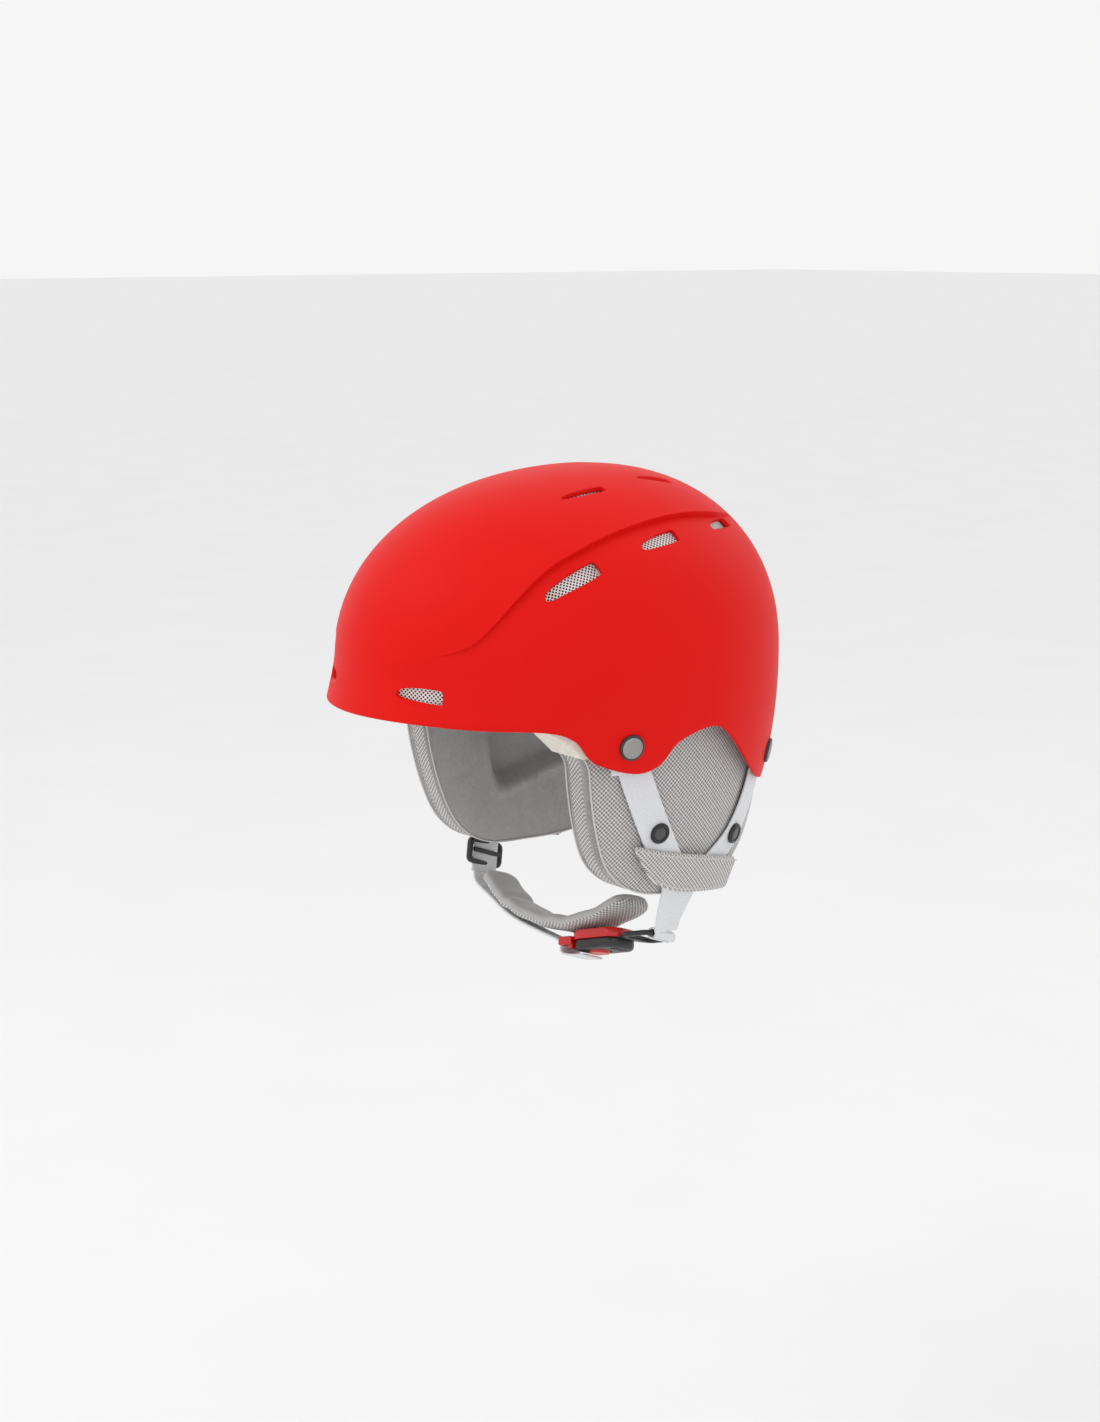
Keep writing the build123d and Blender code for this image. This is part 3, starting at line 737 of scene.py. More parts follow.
# ---- ear pads ---------------------------------------------------------------------------------
def pad_mesh(columns, rings):
    """Closed pad in rings: outer face, gusset, inner face. Returns points, faces and the ring numbers."""
    edge = spline(PAD_OUTLINE, columns, closed=True)
    heart = np.array(PAD_HEART)
    layout = [(r, 0.4) for r in np.linspace(0.04, 1.0, rings) ** 0.8]
    layout += [(1.0, t) for t in (4.5, 8.0, 12.0, 16.0)]
    layout += [(r, LINING - 0.4) for r in np.linspace(1.0, 0.04, rings) ** 0.8]
    points, uvs, walk = [], [], np.concatenate([[0], np.cumsum(np.linalg.norm(np.diff(edge, axis=0), axis=1))])
    for r, t in layout:
        flat = heart + (edge - heart) * r
        x = egg_side(flat[:, 0], flat[:, 1], EAR, t)
        points += list(np.column_stack([x, flat]))
        if 0.4 < t < LINING - 0.4:
            uvs += list(np.column_stack([walk, np.full(columns, t)]))
        else:
            uvs += list(flat)
    faces = quads(len(layout), columns, True)
    total = len(layout) * columns
    faces += [tuple(range(columns)), tuple(range(total - columns, total))]
    return np.array(points), faces, uvs, layout


def puff(obj, pinned, cap, pressure=4.0, frames=18):
    """Inflate a pad with cloth, hold its seams, and cap how far each point moves."""
    start = np.array([v.co for v in obj.data.vertices])
    group = obj.vertex_groups.new(name="seams")
    group.add([int(i) for i in pinned], 1.0, "REPLACE")
    cloth = obj.modifiers.new("cloth", "CLOTH")
    cloth.settings.use_pressure = True
    cloth.settings.uniform_pressure_force = pressure
    cloth.settings.vertex_group_mass = "seams"
    cloth.settings.tension_stiffness = cloth.settings.compression_stiffness = 12
    cloth.settings.bending_stiffness = 0.4
    cloth.settings.quality = 6
    cloth.settings.effector_weights.gravity = 0
    scene = bpy.context.scene
    for number in range(1, frames + 1):
        scene.frame_set(number)
    apply_modifiers(obj)
    scene.frame_set(1)
    now = np.array([v.co for v in obj.data.vertices])
    move = now - start
    size = np.linalg.norm(move, axis=1, keepdims=True)
    move *= np.minimum(1.0, cap * MM / np.maximum(size, 1e-9))
    obj.data.vertices.foreach_set("co", (start + move).ravel())
    obj.data.update()


def sink_pocket(points, inner):
    """Press the ear pocket into the fleece face."""
    y, z, semi_y, semi_z = POCKET
    across, down = points[:, 1] - y, points[:, 2] - z
    tilted = down - 0.28 * across
    reach = (np.abs(across / semi_y) ** 5 + np.abs(tilted / semi_z) ** 5) ** 0.2
    fall = np.clip((1.08 - reach) / 0.2, 0, 1)
    depth = 11.0 * fall * fall * (3 - 2 * fall) - 1.4 * np.exp(-((reach - 1.16) / 0.09) ** 2)
    depth = depth * inner
    points[:, 0] += depth


def make_ear_pads(columns, swell):
    rings = 22
    points, faces, uvs, layout = pad_mesh(columns, rings)
    pad = make_object("left_ear_pad", points, faces, MATERIALS["net_cloth"], uvs)
    pad.data.materials.append(MATERIALS["fleece"])
    seam_rows = [rings - 1, rings + 4]
    pinned = [row * columns + c for row in seam_rows for c in range(columns)]
    pinned += [k for k, p in enumerate(points) if p[2] > -24 or layout[k // columns][0] < 0.3]
    puff(pad, pinned, swell)
    co = np.array([v.co for v in pad.data.vertices]) / MM
    row = np.arange(len(co)) // columns
    inner = (row >= rings + 4).astype(float)
    sink_pocket(co, inner)
    for index in seam_rows:
        ring = slice(index * columns, (index + 1) * columns)
        co[ring] -= (co[ring] - co[ring].mean(0)) * 0.008
    pad.data.vertices.foreach_set("co", (co * MM).ravel())
    for face in pad.data.polygons:
        face.material_index = 1 if min(row[v] for v in face.vertices) >= rings + 4 else 0
    seams = [co[index * columns:(index + 1) * columns] for index in seam_rows]
    pieces = [subdivide(pad)]
    for k, (name, ring) in enumerate(zip(("outer", "inner"), seams)):
        normals = egg_normal(ring, EAR) * (1 if k == 0 else -1)
        pieces.append(sweep(f"left_{name}_piping", ring, normals, 1.2, 1.2, MATERIALS["stitching"], closed=True,
                            power=2.0, count=8))
    for piece in pieces:
        twin = mirrored(piece, piece.name.replace("left", "right"))
        for obj, side, sign in ((piece, "left", 1), (twin, "right", -1)):
            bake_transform(obj)
            if obj.name.endswith("ear_pad"):
                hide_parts(f"{side}_ear_cover", f"{side}_ear_foam", f"{side}_ear_lining", f"{side}_ear_collar")


# ---- straps -----------------------------------------------------------------------------------
def on_ear(path, out):
    """Points and normals just outside the ear pad, from a side-view path."""
    p = np.array(path, float)
    x = egg_side(p[:, 0], p[:, 1], EAR, -np.broadcast_to(out, len(p)))
    points = np.column_stack([x, p])
    return points, egg_normal(points, EAR)


def make_straps():
    paths = {"front_strap": ([(-27, -36), (-20, -56), (-9, -80), (4, -103), (14, -118), (18, -124)], 19.5),
             "rear_strap": ([(84, -52), (81, -66), (74, -85), (62, -104), (47, -116), (37, -123)], 18.0)}
    for name, (path, width) in paths.items():
        points, normals = on_ear(spline(path, 40), 1.6 + 0.9 * np.sin(np.linspace(0, 5.5, 40)) * 0.35)
        strap = sweep(f"left_{name}_webbing", points, normals, width, 1.6, MATERIALS["webbing"], power=6.0, count=20)
        twin = mirrored(strap, f"right_{name}_webbing")
        for obj, side, sign in ((strap, "left", 1), (twin, "right", -1)):
            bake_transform(obj)
            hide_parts(f"{side}_{name}")
    for side in ("left", "right"):
        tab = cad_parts[f"{side}_strap_tabs"]
        dress(tab, "webbing")


def make_sleeve():
    """Net sleeve round the two straps, closed and puffed, with hems along its long edges."""
    across, around = 60, 26
    top = spline([(-21, -94), (0, -101), (22, -106.5), (48, -113), (72, -120)], across)
    bottom = spline([(-3, -120), (14, -128), (32, -132.5), (50, -136), (66, -139)], across)
    points, uvs = [], []
    for k in range(across):
        end = min(k, across - 1 - k) / 4.0
        taper = min(1.0, 0.25 + 0.75 * math.sqrt(min(end, 1.0)))
        for j in range(around):
            a = 2 * math.pi * j / around
            v = 0.5 - 0.5 * math.cos(a)
            side = math.sin(a)
            rounded = 0.5 + (v - 0.5) * (0.5 + 0.5 * min(1.0, max(end, 0.06)) ** 0.5)
            flat = top[k] * (1 - rounded) + bottom[k] * rounded
            hem = 0.7 * math.exp(-((min(v, 1 - v) - 0.1) / 0.06) ** 2)
            bulge = (abs(side) ** 0.6) * 2.2 * taper
            out = 3.6 + (bulge + (hem if side > 0 else 0)) * (1 if side > 0 else -0.45)
            x = egg_side(flat[0], flat[1], EAR, -out)
            points.append((float(x), flat[0], flat[1]))
            uvs.append((flat[0], flat[1]))
    faces = quads(across, around, True) + [tuple(range(around)), tuple(range((across - 1) * around, across * around))]
    sleeve = make_object("left_sleeve", points, faces, MATERIALS["sleeve_cloth"], uvs)
    hems = []
    for edge, shift in ((top, 2.2), (bottom, -2.2)):
        path = edge.copy()
        path[:, 1] -= shift
        at, normal = on_ear(path[2:-2], 5.6)
        hems.append(sweep("hem", at, normal, 0.9, 0.7, MATERIALS["stitching"], power=2.0, count=6))
    sleeve = join("left_sleeve", [subdivide(sleeve)] + hems)
    twin = mirrored(sleeve, "right_sleeve")
    for obj, side in ((sleeve, "left"), (twin, "right")):
        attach(obj, f"ear_{side}")
        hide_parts(f"{side}_strap_sleeve")


def make_snaps():
    for side, sign in (("left", 1), ("right", -1)):
        parts = []
        for y, z in SNAPS:
            place = surface_frame(y, z, EAR, -2.6, sign)
            rim = [(5.6, -0.6), (6.1, 0.2), (6.1, 1.1), (5.6, 1.9), (4.9, 2.2), (4.3, 1.9), (4.0, 1.5)]
            face = [(4.2, 1.0), (4.1, 1.5), (3.0, 1.75), (1.6, 1.9), (0.2, 1.95)]
            parts.append(turned("rim", rim, MATERIALS["black_plastic"], place))
            parts.append(turned("face", face, MATERIALS["snap_face"], place))
        snaps = join(f"{side}_snap_studs", parts)
        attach(snaps, f"ear_{side}")
        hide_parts(f"{side}_snaps")


def make_yokes():
    """Webbing below the sleeve: to the ring on the left, through the ladder lock on the right."""
    ring_bar = Vector(buckle_place(45.4, 0, 0))
    high = [Vector((88.3, 26.0, -114.0)), Vector((86.6, 23.0, -121.0)), Vector((84.0, 20.5, -131.0))]
    path = [tuple(p) for p in high]
    path += [tuple(ring_bar + Vector((4.2, 2.0, 12.0))), tuple(ring_bar + Vector((2.6, 1.0, 3.0)))]
    points = spline(path, 30)
    normals = np.tile([1.0, 0.05, -0.25], (30, 1))
    widths = np.interp(np.linspace(0, 1, 30), [0, 0.35, 0.8, 1], [34, 31, 20, 18])
    yoke = sweep("left_yoke_webbing", points, normals, widths, 1.8, MATERIALS["webbing"], power=6.0, count=20)
    wrap = []
    for k in range(24):
        a = math.radians(-60 + 300 * k / 23)
        wrap.append(buckle_place(45.4 + 2.9 * math.cos(a), 0, 2.9 * math.sin(a)))
    centre = np.array(buckle_place(45.4, 0, 0))
    wrap = np.array(wrap)
    loop = sweep("wrap", wrap, wrap - centre, 18.0, 1.4, MATERIALS["webbing"], power=6.0, count=16)
    yoke = join("left_yoke_webbing", [yoke, loop])
    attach(yoke, "ear_left")
    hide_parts("left_yoke")

    top, low = loop_point(-86.3, 17.5), loop_point(-77.4, -15.4)
    path = [(-88.6, 24.0, -113.0), tuple(top + Vector((-0.6, 0, 0))), tuple(top.lerp(low, 0.5)), tuple(low)]
    points = spline(path, 30)
    normals = np.tile([-1.0, 0.05, -0.25], (30, 1))
    widths = np.interp(np.linspace(0, 1, 30), [0, 0.3, 0.5, 1], [32, 24, 18, 18])
    yoke = sweep("right_yoke_webbing", points, normals, widths, 1.7, MATERIALS["webbing"], power=6.0, count=20)
    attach(yoke, "ear_right")
    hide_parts("right_yoke")


# ---- chin strap ---------------------------------------------------------------------------------
def chin_point(radius, turn):
    """Place in the loop's plane on a circle about the chin."""
    a = math.radians(turn)
    return (CHIN_CENTRE[0] - radius * math.sin(a), CHIN_CENTRE[1] - radius * math.cos(a))


def make_chin_pad():
    count, rows = 26, 64
    path = [chin_point(CHIN_R, turn) for turn in np.linspace(38, -47, rows)]
    points = np.array([tuple(loop_point(s, t)) for s, t in path])
    centre = np.array(loop_point(*CHIN_CENTRE))
    normals = centre - points
    ends = np.linspace(0, 1, rows)
    shrink = 1 - 0.45 * np.maximum(0, 1 - np.minimum(ends, 1 - ends) / 0.05) ** 2

    def crease(f, a):
        fold = -1.6 * math.exp(-((f - 0.22) / 0.02) ** 2) - 0.9 * math.exp(-((f - 0.62) / 0.03) ** 2)
        return fold + 0.35 * math.sin(f * 38 + a * 3)

    pad = sweep("chin_pad", points, normals, 30 * shrink, 8.4 * shrink, MATERIALS["soft_grey"], power=3.2, count=count,
                swell=crease)
    pad.data.materials.append(MATERIALS["net_cloth"])
    section_side = [j for j in range(count) if math.sin(2 * math.pi * (j + 0.5) / count) < -0.2]
    for k, face in enumerate(pad.data.polygons[: (rows - 1) * count]):
        face.material_index = 1 if k % count in section_side else 0
    seam_pins = [r * count + j for r in range(rows) for j in (0, count // 2)]
    puff(pad, seam_pins, 1.6, pressure=3.0, frames=14)
    subdivide(pad)
    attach(pad, "chin_strap")
    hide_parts("chin_pad_cover", "chin_pad_foam")
    path = [(-77.4, -15.4), (-73.0, -21.6), chin_point(CHIN_R + 8.2, 30), chin_point(CHIN_R + 7.1, 18),
            chin_point(CHIN_R + 6.7, 6), (9.2, -40.6), (15.0, -40.2)]
    flat = spline(path, 50)
    points = np.array([tuple(loop_point(s, t)) for s, t in flat])
    web = sweep("chin_strap_webbing", points, centre - points, 18.0, 1.6, MATERIALS["webbing"], power=6.0, count=20)
    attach(web, "chin_strap")
    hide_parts("chin_webbing")
    fold = [(-14.5, 0, -1.0), (-21.5, 0, 0.2), (-24.4, 0, -3.0), (-23.0, 0, -6.6), (-16.0, 0, -8.2), (-6.5, 0, -8.6)]
    local = spline(fold, 30)
    points = np.array([buckle_place(*p) for p in local])
    side = np.gradient(points, axis=0)
    width_way = np.array(buckle_place(0, 1, 0)) - np.array(buckle_place(0, 0, 0))
    end = sweep("webbing_end", points, np.cross(side, width_way), 18.0, 1.5, MATERIALS["webbing"], power=6.0, count=20)
    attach(end, "chin_strap")
    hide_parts("webbing_end_fold")


def make_buckle():
    def place(x, y, z):
        return buckle_place(x - 1, y, z)

    black, red, dark = MATERIALS["black_plastic"], MATERIALS["red_plastic"], MATERIALS["dark_plastic"]
    body = rounded_box(35, 23, 8.5, x=2.5)
    levels = [(3.2, -6.0), (1.4, -5.8), (0.4, -5.0), (0.0, -3.8), (0.0, -1.0), (0.6, -0.3), (3.5, -0.25)]
    cover = loaf("cover", body, levels, dark, buckle_place)
    hole = turned("hole", [(7.3, -9), (7.3, -4.7), (6.6, -3.4), (6.6, 1)], dark, place, 40)
    boolean = cover.modifiers.new("hole", "BOOLEAN")
    boolean.operation = "DIFFERENCE"
    boolean.solver = "EXACT"
    boolean.object = hole
    apply_modifiers(cover)
    bpy.data.objects.remove(hole)
    grips = [loaf("grip", rounded_box(1.4, 12, 0.6, 6, x=x), [(0, -5.2), (0, -6.1), (0.3, -6.4)], dark, buckle_place)
             for x in (12.2, 15.0)]
    cover = join("buckle_shell", [cover] + grips)
    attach(crisp(cover), "chin_strap")
    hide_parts("buckle_cover")

    levels = [(2.5, 0.0), (0.2, 0.2), (0.0, 1.0), (0.0, 4.4), (0.9, 5.6), (3.2, 6.0)]
    base = loaf("base", rounded_box(36.5, 24.4, 8.8, x=2.2), levels, red, buckle_place)
    slim = [(0.6, -2.4), (0, -1.8), (0, 1.8), (0.6, 2.4)]
    deep = [(0.6, -4.4), (0, -3.8), (0, 1.8), (0.6, 2.4)]
    tail = [loaf("tail", rounded_box(10, 4.0, 1.2, 6, x=-19, y=y), slim, red, buckle_place) for y in (-10.0, 10.0)]
    bar = [loaf("bar", rounded_box(3.2, 21, 1.2, 6, x=-22.4), slim, red, buckle_place),
           loaf("bar", rounded_box(3.6, 21, 1.2, 6, x=-16.0), deep, red, buckle_place)]
    base = join("buckle_back", [base] + tail + bar)
    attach(crisp(base), "chin_strap")
    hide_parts("buckle_base")

    button = turned("release_button", [(6.9, -1.7), (6.9, -2.7), (6.2, -3.0), (6.2, -6.6), (5.7, -7.4), (4.2, -7.7),
                                       (2.0, -7.6), (0.2, -7.5)], red, place)
    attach(crisp(button), "buckle_button")
    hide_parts("buckle_button")
    spring = [(2.6 * math.cos(a), 2.6 * math.sin(a), -1.4 + 4.6 * a / (8 * math.pi))
              for a in np.linspace(0, 8 * math.pi, 90)]
    points = np.array([place(*p) for p in spring])
    away = points - np.array(place(0, 0, 1))
    coil = sweep("button_spring", points, away, 0.6, 0.6, MATERIALS["steel"], power=2.0, count=6)
    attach(coil, "chin_strap")
    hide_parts("buckle_spring")

    ring_at = 20 + 5 + 11
    outline = np.array(rounded_box(22 - 3.2, 27 - 3.2, 3.2, 8, x=ring_at))
    points = np.array([buckle_place(x, y, 0) for x, y in outline])
    lift = np.array(buckle_place(0, 0, 1)) - np.array(buckle_place(0, 0, 0))
    ring = sweep("ring", points, np.tile(lift, (len(points), 1)), 3.3, 3.1, black, closed=True, power=2.8, count=12)
    blade = [(0.5, -0.7), (0, -0.4), (0, 0.4), (0.5, 0.7)]
    neck = loaf("neck", rounded_box(12, 15, 2.2, 6, x=21.6), blade, black, buckle_place)
    web = loaf("shoulder", [(23.0, -7), (26.4, -11.5), (28.2, -11.5), (28.2, 11.5), (26.4, 11.5), (23.0, 7)],
               [(0.5, -1.4), (0, -1.0), (0, 1.0), (0.5, 1.4)], black, buckle_place)
    ring = join("tongue_ring", [ring, neck, web])
    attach(crisp(ring), "ear_left")
    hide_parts("buckle_tongue")


def make_ladder_lock():
    top, low = loop_point(-86.3, 17.5), loop_point(-77.4, -15.4)
    run = (low - top).normalized()
    out = loop_axes()[2]
    face = run.cross(out).normalized()
    side = face.cross(run)
    origin = top + (low - top) * 0.62

    def place(x, y, z):
        return tuple(origin + run * x + side * y + face * z)

    rail = rounded_box(13.6, 26.4, 2.6, 6)
    points = np.array([place(x, y, 0.6 * (abs(x) / 6.8)) for x, y in rail])
    lift = np.array(place(0, 0, 1)) - np.array(place(0, 0, 0))
    frame_bar = sweep("frame", points, np.tile(lift, (len(points), 1)), 3.0, 3.8, MATERIALS["black_plastic"],
                      closed=True, power=3.0, count=12)
    bars = [sweep("bar", [place(x, y, z) for y in np.linspace(-12, 12, 6)], np.tile(lift, (6, 1)), 3.0, 1.6,
                  MATERIALS["black_plastic"], power=3.0, count=10) for x, z in ((-5.4, 2.1), (5.4, 2.1), (0, -2.1))]
    lock = join("slide_lock", [frame_bar] + bars)
    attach(crisp(lock), "ladder_lock")
    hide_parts("ladder_lock")


# ---- inside pads and carried-over nodes ---------------------------------------------------------
def patch_pad(name, node, view, u_range, v_range, inset, thick, body, channels=3):
    """Quilted pad on the liner's inner face. view says which coordinate the surface gives."""
    rows, cols = 34, 44
    u, v = np.meshgrid(np.linspace(*u_range, cols), np.linspace(*v_range, rows))
    fu = np.linspace(-1, 1, cols)[None, :]
    fv = np.linspace(-1, 1, rows)[:, None]
    edge = np.clip((1 - np.abs(fu) ** 9) * (1 - np.abs(fv) ** 7), 0, 1) ** 0.5
    quilt = 1 - 0.22 * np.exp(-(np.abs(np.sin(math.pi * channels * (fu + 1) / 2)) / 0.12) ** 2)
    points, uvs = [], []
    for share in (0.0, 1.0):
        depth = inset + thick * (0.35 + (share - 0.35) * edge * (quilt if share else 1.0))
        flat_u, flat_v, flat_d = u.ravel(), v.ravel(), np.broadcast_to(depth, u.shape).ravel()
        for a, b, d in zip(flat_u, flat_v, flat_d):
            if view == "side":
                points.append((float(egg_side(a, b, SHELL, d)), a, b))
            elif view == "top":
                points.append((a, b, float(egg_top(a, b, SHELL, d))))
            else:
                points.append((a, float(egg_front(a, b, SHELL, d, view == "rear")), b))
            uvs.append((a, b))
    count = rows * cols
    faces = quads(rows, cols, False) + quads(rows, cols, False, count)
    border = (list(range(cols)) + [r * cols + cols - 1 for r in range(1, rows)]
              + [(rows - 1) * cols + c for c in range(cols - 2, -1, -1)] + [r * cols for r in range(rows - 2, 0, -1)])
    faces += [(a, b, b + count, a + count) for a, b in zip(border, border[1:] + border[:1])]
    pad = make_object(name, points, faces, MATERIALS["comfort"], uvs)
    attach(pad, body)
    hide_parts(node)
    return pad


def make_inside():
    patch_pad("brow_cushion", "brow_pad", "front", (-68, 68), (-13.5, 9.5), 28.1, 5.6, "helmet", 5)
    patch_pad("crown_cushion", "crown_pad", "top", (-22, 22), (-53, 73), 28.1, 5.6, "helmet", 3)
    patch_pad("nape_cushion", "nape_pad", "rear", (-43, 43), (-39, 3), 28.1, 5.6, "helmet", 4)
    patch_pad("left_side_cushion", "left_side_pad", "side", (-38, 78), (3, 29), 28.1, 5.6, "helmet", 5)
    right = patch_pad("right_side_cushion", "right_side_pad", "side", (-38, 78), (3, 29), 28.1, 5.6, "helmet", 5)
    right.data.transform(Matrix.Scale(-1, 4, (1, 0, 0)))
    right.data.flip_normals()
    patch_pad("occiput_cushion", "occiput_pad", "rear", (-25, 25), (-80, -52), 36.9, 4.0, "fit_cradle", 2)


def dress(node, material):
    node.data.materials.clear()
    node.data.materials.append(MATERIALS[material])


def dress_nodes():
    looks = {"foam_liner": "foam_beads", "rivet_washers": "steel", "left_fit_band": "black_plastic",
             "right_fit_band": "black_plastic", "fit_cradle": "dark_plastic", "dial_housing": "dark_plastic",
             "dial_axle": "dark_plastic", "dial_knob": "black_plastic", "goggle_clip": "black_plastic",
             "goggle_clip_base": "black_plastic", "goggle_clip_pin": "steel", "goggle_clip_rivets": "steel"}
    for node, material in looks.items():
        dress(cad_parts[node], material)


# ---- stage --------------------------------------------------------------------------------------
def make_stage(distance, azimuth, elevation):
    a, e = azimuth, elevation
    back = Vector((math.sin(a) * math.cos(e), -math.cos(a) * math.cos(e), math.sin(e)))
    aim = Vector((0, CENTRE_Y * MM, 0))
    camera = bpy.data.objects.new("camera", bpy.data.cameras.new("camera"))
    camera.location = aim + back * distance
    camera.rotation_euler = (-back).to_track_quat("-Z", "Y").to_euler()
    camera.data.sensor_fit = "VERTICAL"
    camera.data.sensor_height = 36.0
    camera.data.lens = 55.75
    camera.data.shift_x, camera.data.shift_y = -0.0246, -0.0454
    bpy.context.scene.collection.objects.link(camera)
    bpy.context.scene.camera = camera
    bm = bmesh.new()
    bmesh.ops.create_grid(bm, x_segments=8, y_segments=8, size=40.0)
    mesh = bpy.data.meshes.new("floor")
    bm.to_mesh(mesh)
    bm.free()
    mesh.materials.append(MATERIALS["floor"])
    floor = bpy.data.objects.new("floor", mesh)
    floor.location.z = -0.55
    bpy.context.scene.collection.objects.link(floor)
    lights = {"key": ((-0.5, -1.3, 1.5), 1.0, 9.0), "fill": ((1.6, -0.9, 0.5), 1.6, 1.5),
              "back": ((0.5, 1.6, 1.3), 1.2, 3.0), "under": ((0.3, -1.2, -0.45), 1.0, 0.6)}
    for name, (spot, size, power) in lights.items():
        lamp = bpy.data.lights.new(name, "AREA")
        lamp.size, lamp.energy = size, power
        obj = bpy.data.objects.new(name, lamp)
        obj.location = spot
        obj.rotation_euler = (aim - Vector(spot)).to_track_quat("-Z", "Y").to_euler()
        bpy.context.scene.collection.objects.link(obj)
    world = bpy.data.worlds.new("studio")
    world.use_nodes = True
    world.node_tree.nodes["Background"].inputs[0].default_value = (1, 1, 1, 1)
    world.node_tree.nodes["Background"].inputs[1].default_value = 0.92
    bpy.context.scene.world = world
    bpy.context.scene.view_settings.view_transform = "Standard"


# ---- add-on -------------------------------------------------------------------------------------
def colour_property(name, description, default):
    return FloatVectorProperty(name=name, description=description, default=default, size=3, min=0.0, max=1.0,
                               subtype="COLOR")


class HelmetFinish(bpy.types.PropertyGroup):
    """Colours of the main finishes."""
    shell: colour_property("Shell", "Matt paint of the outer shell", (0.76, 0.003, 0.001))
    webbing: colour_property("Webbing", "Woven straps", (0.78, 0.79, 0.81))
    net: colour_property("Net cloth", "Open cloth on the outside of the ear pads", (0.70, 0.685, 0.67))
    fleece: colour_property("Fleece", "Brushed lining of the ear pads", (0.66, 0.645, 0.64))
    accent: colour_property("Accent", "Red plastic of the buckle", (0.62, 0.008, 0.010))


class HelmetBuild(bpy.types.PropertyGroup):
    """How finely the pieces are made, how full the pads are, and where the camera stands."""
    shell_detail: IntProperty(name="Shell detail", description="Grid density of the shell", default=5, min=1, max=8)
    pad_columns: IntProperty(name="Pad columns", description="Points round each ear pad", default=110, min=40, max=240)
    pad_swell: FloatProperty(name="Pad swell", description="Most that a pad's cloth may stand out, in millimetres",
                             default=4.0, min=0.0, max=10.0)
    camera_distance: FloatProperty(name="Camera distance", description="From the helmet's middle", default=1.3,
                                   unit="LENGTH", subtype="DISTANCE")
    camera_azimuth: FloatProperty(name="Camera azimuth", description="Turn from straight ahead of the face",
                                  default=math.radians(50.0), unit="ROTATION", subtype="ANGLE")
    camera_elevation: FloatProperty(name="Camera elevation", description="Height above level",
                                    default=math.radians(10.5), unit="ROTATION", subtype="ANGLE")


class HELMET_OT_finishes(bpy.types.Operator):
    """Make the node groups and the materials"""
    bl_idname = "helmet.finishes"
    bl_label = "Finishes"

    def execute(self, context):
        make_materials(context.scene.helmet_finish)
        return {"FINISHED"}


class HELMET_OT_stage(bpy.types.Operator):
    """Set up the floor, the lights and the camera"""
    bl_idname = "helmet.stage"
    bl_label = "Stage"

    def execute(self, context):
        build = context.scene.helmet_build
        make_stage(build.camera_distance, build.camera_azimuth, build.camera_elevation)
        return {"FINISHED"}


class HELMET_OT_shell(bpy.types.Operator):
    """Make the outer shell with its raised crown, lip and vents"""
    bl_idname = "helmet.shell"
    bl_label = "Outer shell"

    def execute(self, context):
        make_shell(context.scene.helmet_build.shell_detail)
        return {"FINISHED"}


class HELMET_OT_vent_screens(bpy.types.Operator):
    """Make the perforated screens behind the vents"""
    bl_idname = "helmet.vent_screens"
    bl_label = "Vent screens"

    def execute(self, context):
        make_grilles()
        return {"FINISHED"}


class HELMET_OT_rivets(bpy.types.Operator):
    """Make the rivets that hold the straps to the shell"""
    bl_idname = "helmet.rivets"
    bl_label = "Strap rivets"

    def execute(self, context):
        make_rivets()
        return {"FINISHED"}


class HELMET_OT_ear_pads(bpy.types.Operator):
    """Make both ear pads, swelled as cloth over foam, with their piping"""
    bl_idname = "helmet.ear_pads"
    bl_label = "Ear pads"

    def execute(self, context):
        build = context.scene.helmet_build
        make_ear_pads(build.pad_columns, build.pad_swell)
        return {"FINISHED"}


class HELMET_OT_straps(bpy.types.Operator):
    """Make the webbing straps over the ear pads"""
    bl_idname = "helmet.straps"
    bl_label = "Ear straps"

    def execute(self, context):
        make_straps()
        return {"FINISHED"}


class HELMET_OT_sleeves(bpy.types.Operator):
    """Make the net sleeves round the straps, and their snap studs"""
    bl_idname = "helmet.sleeves"
    bl_label = "Strap sleeves"

    def execute(self, context):
        make_sleeve()
        make_snaps()
        return {"FINISHED"}


class HELMET_OT_yokes(bpy.types.Operator):
    """Make the webbing below the sleeves, down to the ring and the slide lock"""
    bl_idname = "helmet.yokes"
    bl_label = "Yokes"

    def execute(self, context):
        make_yokes()
        return {"FINISHED"}


class HELMET_OT_chin_strap(bpy.types.Operator):
    """Make the chin strap and its fleece pad"""
    bl_idname = "helmet.chin_strap"
    bl_label = "Chin strap"

    def execute(self, context):
        make_chin_pad()
        return {"FINISHED"}


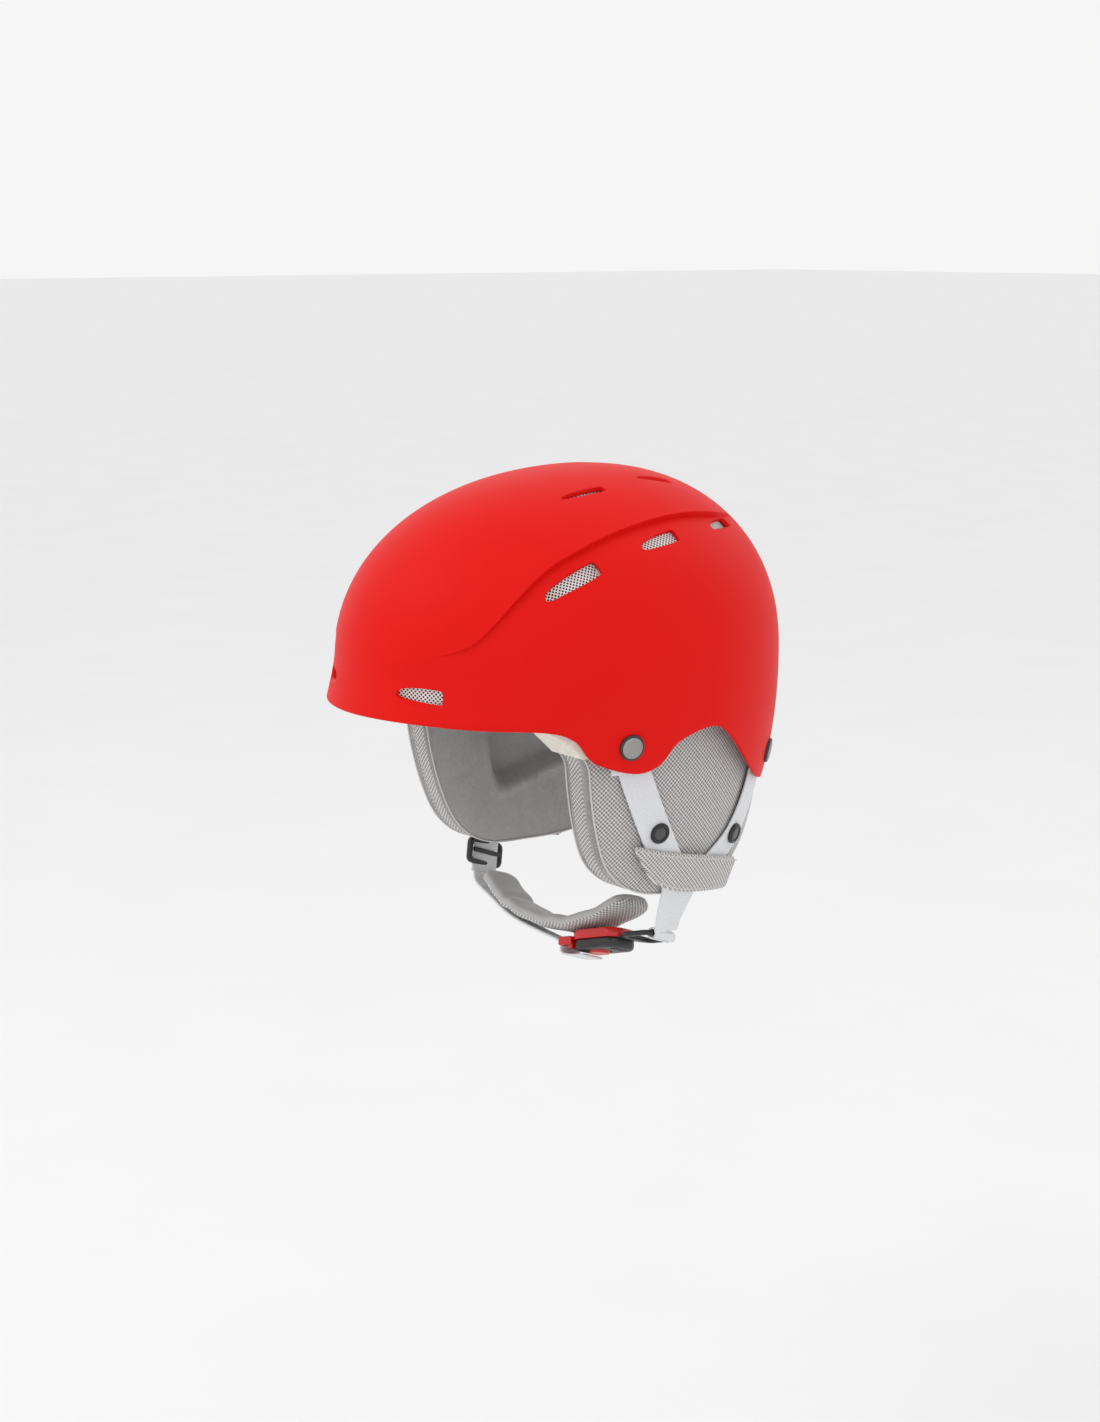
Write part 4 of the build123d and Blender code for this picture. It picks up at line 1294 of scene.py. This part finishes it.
class HELMET_OT_buckle(bpy.types.Operator):
    """Make the buckle, its release button, and the tongue on its ring"""
    bl_idname = "helmet.buckle"
    bl_label = "Buckle"

    def execute(self, context):
        make_buckle()
        return {"FINISHED"}


class HELMET_OT_slide_lock(bpy.types.Operator):
    """Make the slide lock on the right of the chin strap"""
    bl_idname = "helmet.slide_lock"
    bl_label = "Slide lock"

    def execute(self, context):
        make_ladder_lock()
        return {"FINISHED"}


class HELMET_OT_inside(bpy.types.Operator):
    """Make the quilted comfort pads and finish the fit system and the goggle clip"""
    bl_idname = "helmet.inside"
    bl_label = "Inside and fit system"

    def execute(self, context):
        make_inside()
        dress_nodes()
        return {"FINISHED"}


OPERATORS = (HELMET_OT_finishes, HELMET_OT_stage, HELMET_OT_shell, HELMET_OT_vent_screens, HELMET_OT_rivets,
             HELMET_OT_ear_pads, HELMET_OT_straps, HELMET_OT_sleeves, HELMET_OT_yokes, HELMET_OT_chin_strap,
             HELMET_OT_buckle, HELMET_OT_slide_lock, HELMET_OT_inside)


class HELMET_PT_panel(bpy.types.Panel):
    """Sizes, colours and the build steps of the helmet"""
    bl_idname = "HELMET_PT_panel"
    bl_label = "Ski helmet"
    bl_space_type = "VIEW_3D"
    bl_region_type = "UI"
    bl_category = "Helmet"

    def draw(self, context):
        for settings in (context.scene.helmet_build, context.scene.helmet_finish):
            box = self.layout.box()
            for name in settings.bl_rna.properties.keys():
                if name not in ("rna_type", "name"):
                    box.prop(settings, name)
        for operator in OPERATORS:
            self.layout.operator(operator.bl_idname)


CLASSES = (HelmetFinish, HelmetBuild, *OPERATORS, HELMET_PT_panel)


def register():
    for cls in CLASSES:
        bpy.utils.register_class(cls)
    bpy.types.Scene.helmet_finish = PointerProperty(type=HelmetFinish)
    bpy.types.Scene.helmet_build = PointerProperty(type=HelmetBuild)


def unregister():
    del bpy.types.Scene.helmet_build
    del bpy.types.Scene.helmet_finish
    for cls in reversed(CLASSES):
        bpy.utils.unregister_class(cls)


def main():
    register()
    for operator in OPERATORS:
        group, name = operator.bl_idname.split(".")
        getattr(getattr(bpy.ops, group), name)()


if __name__ == "__main__":
    main()
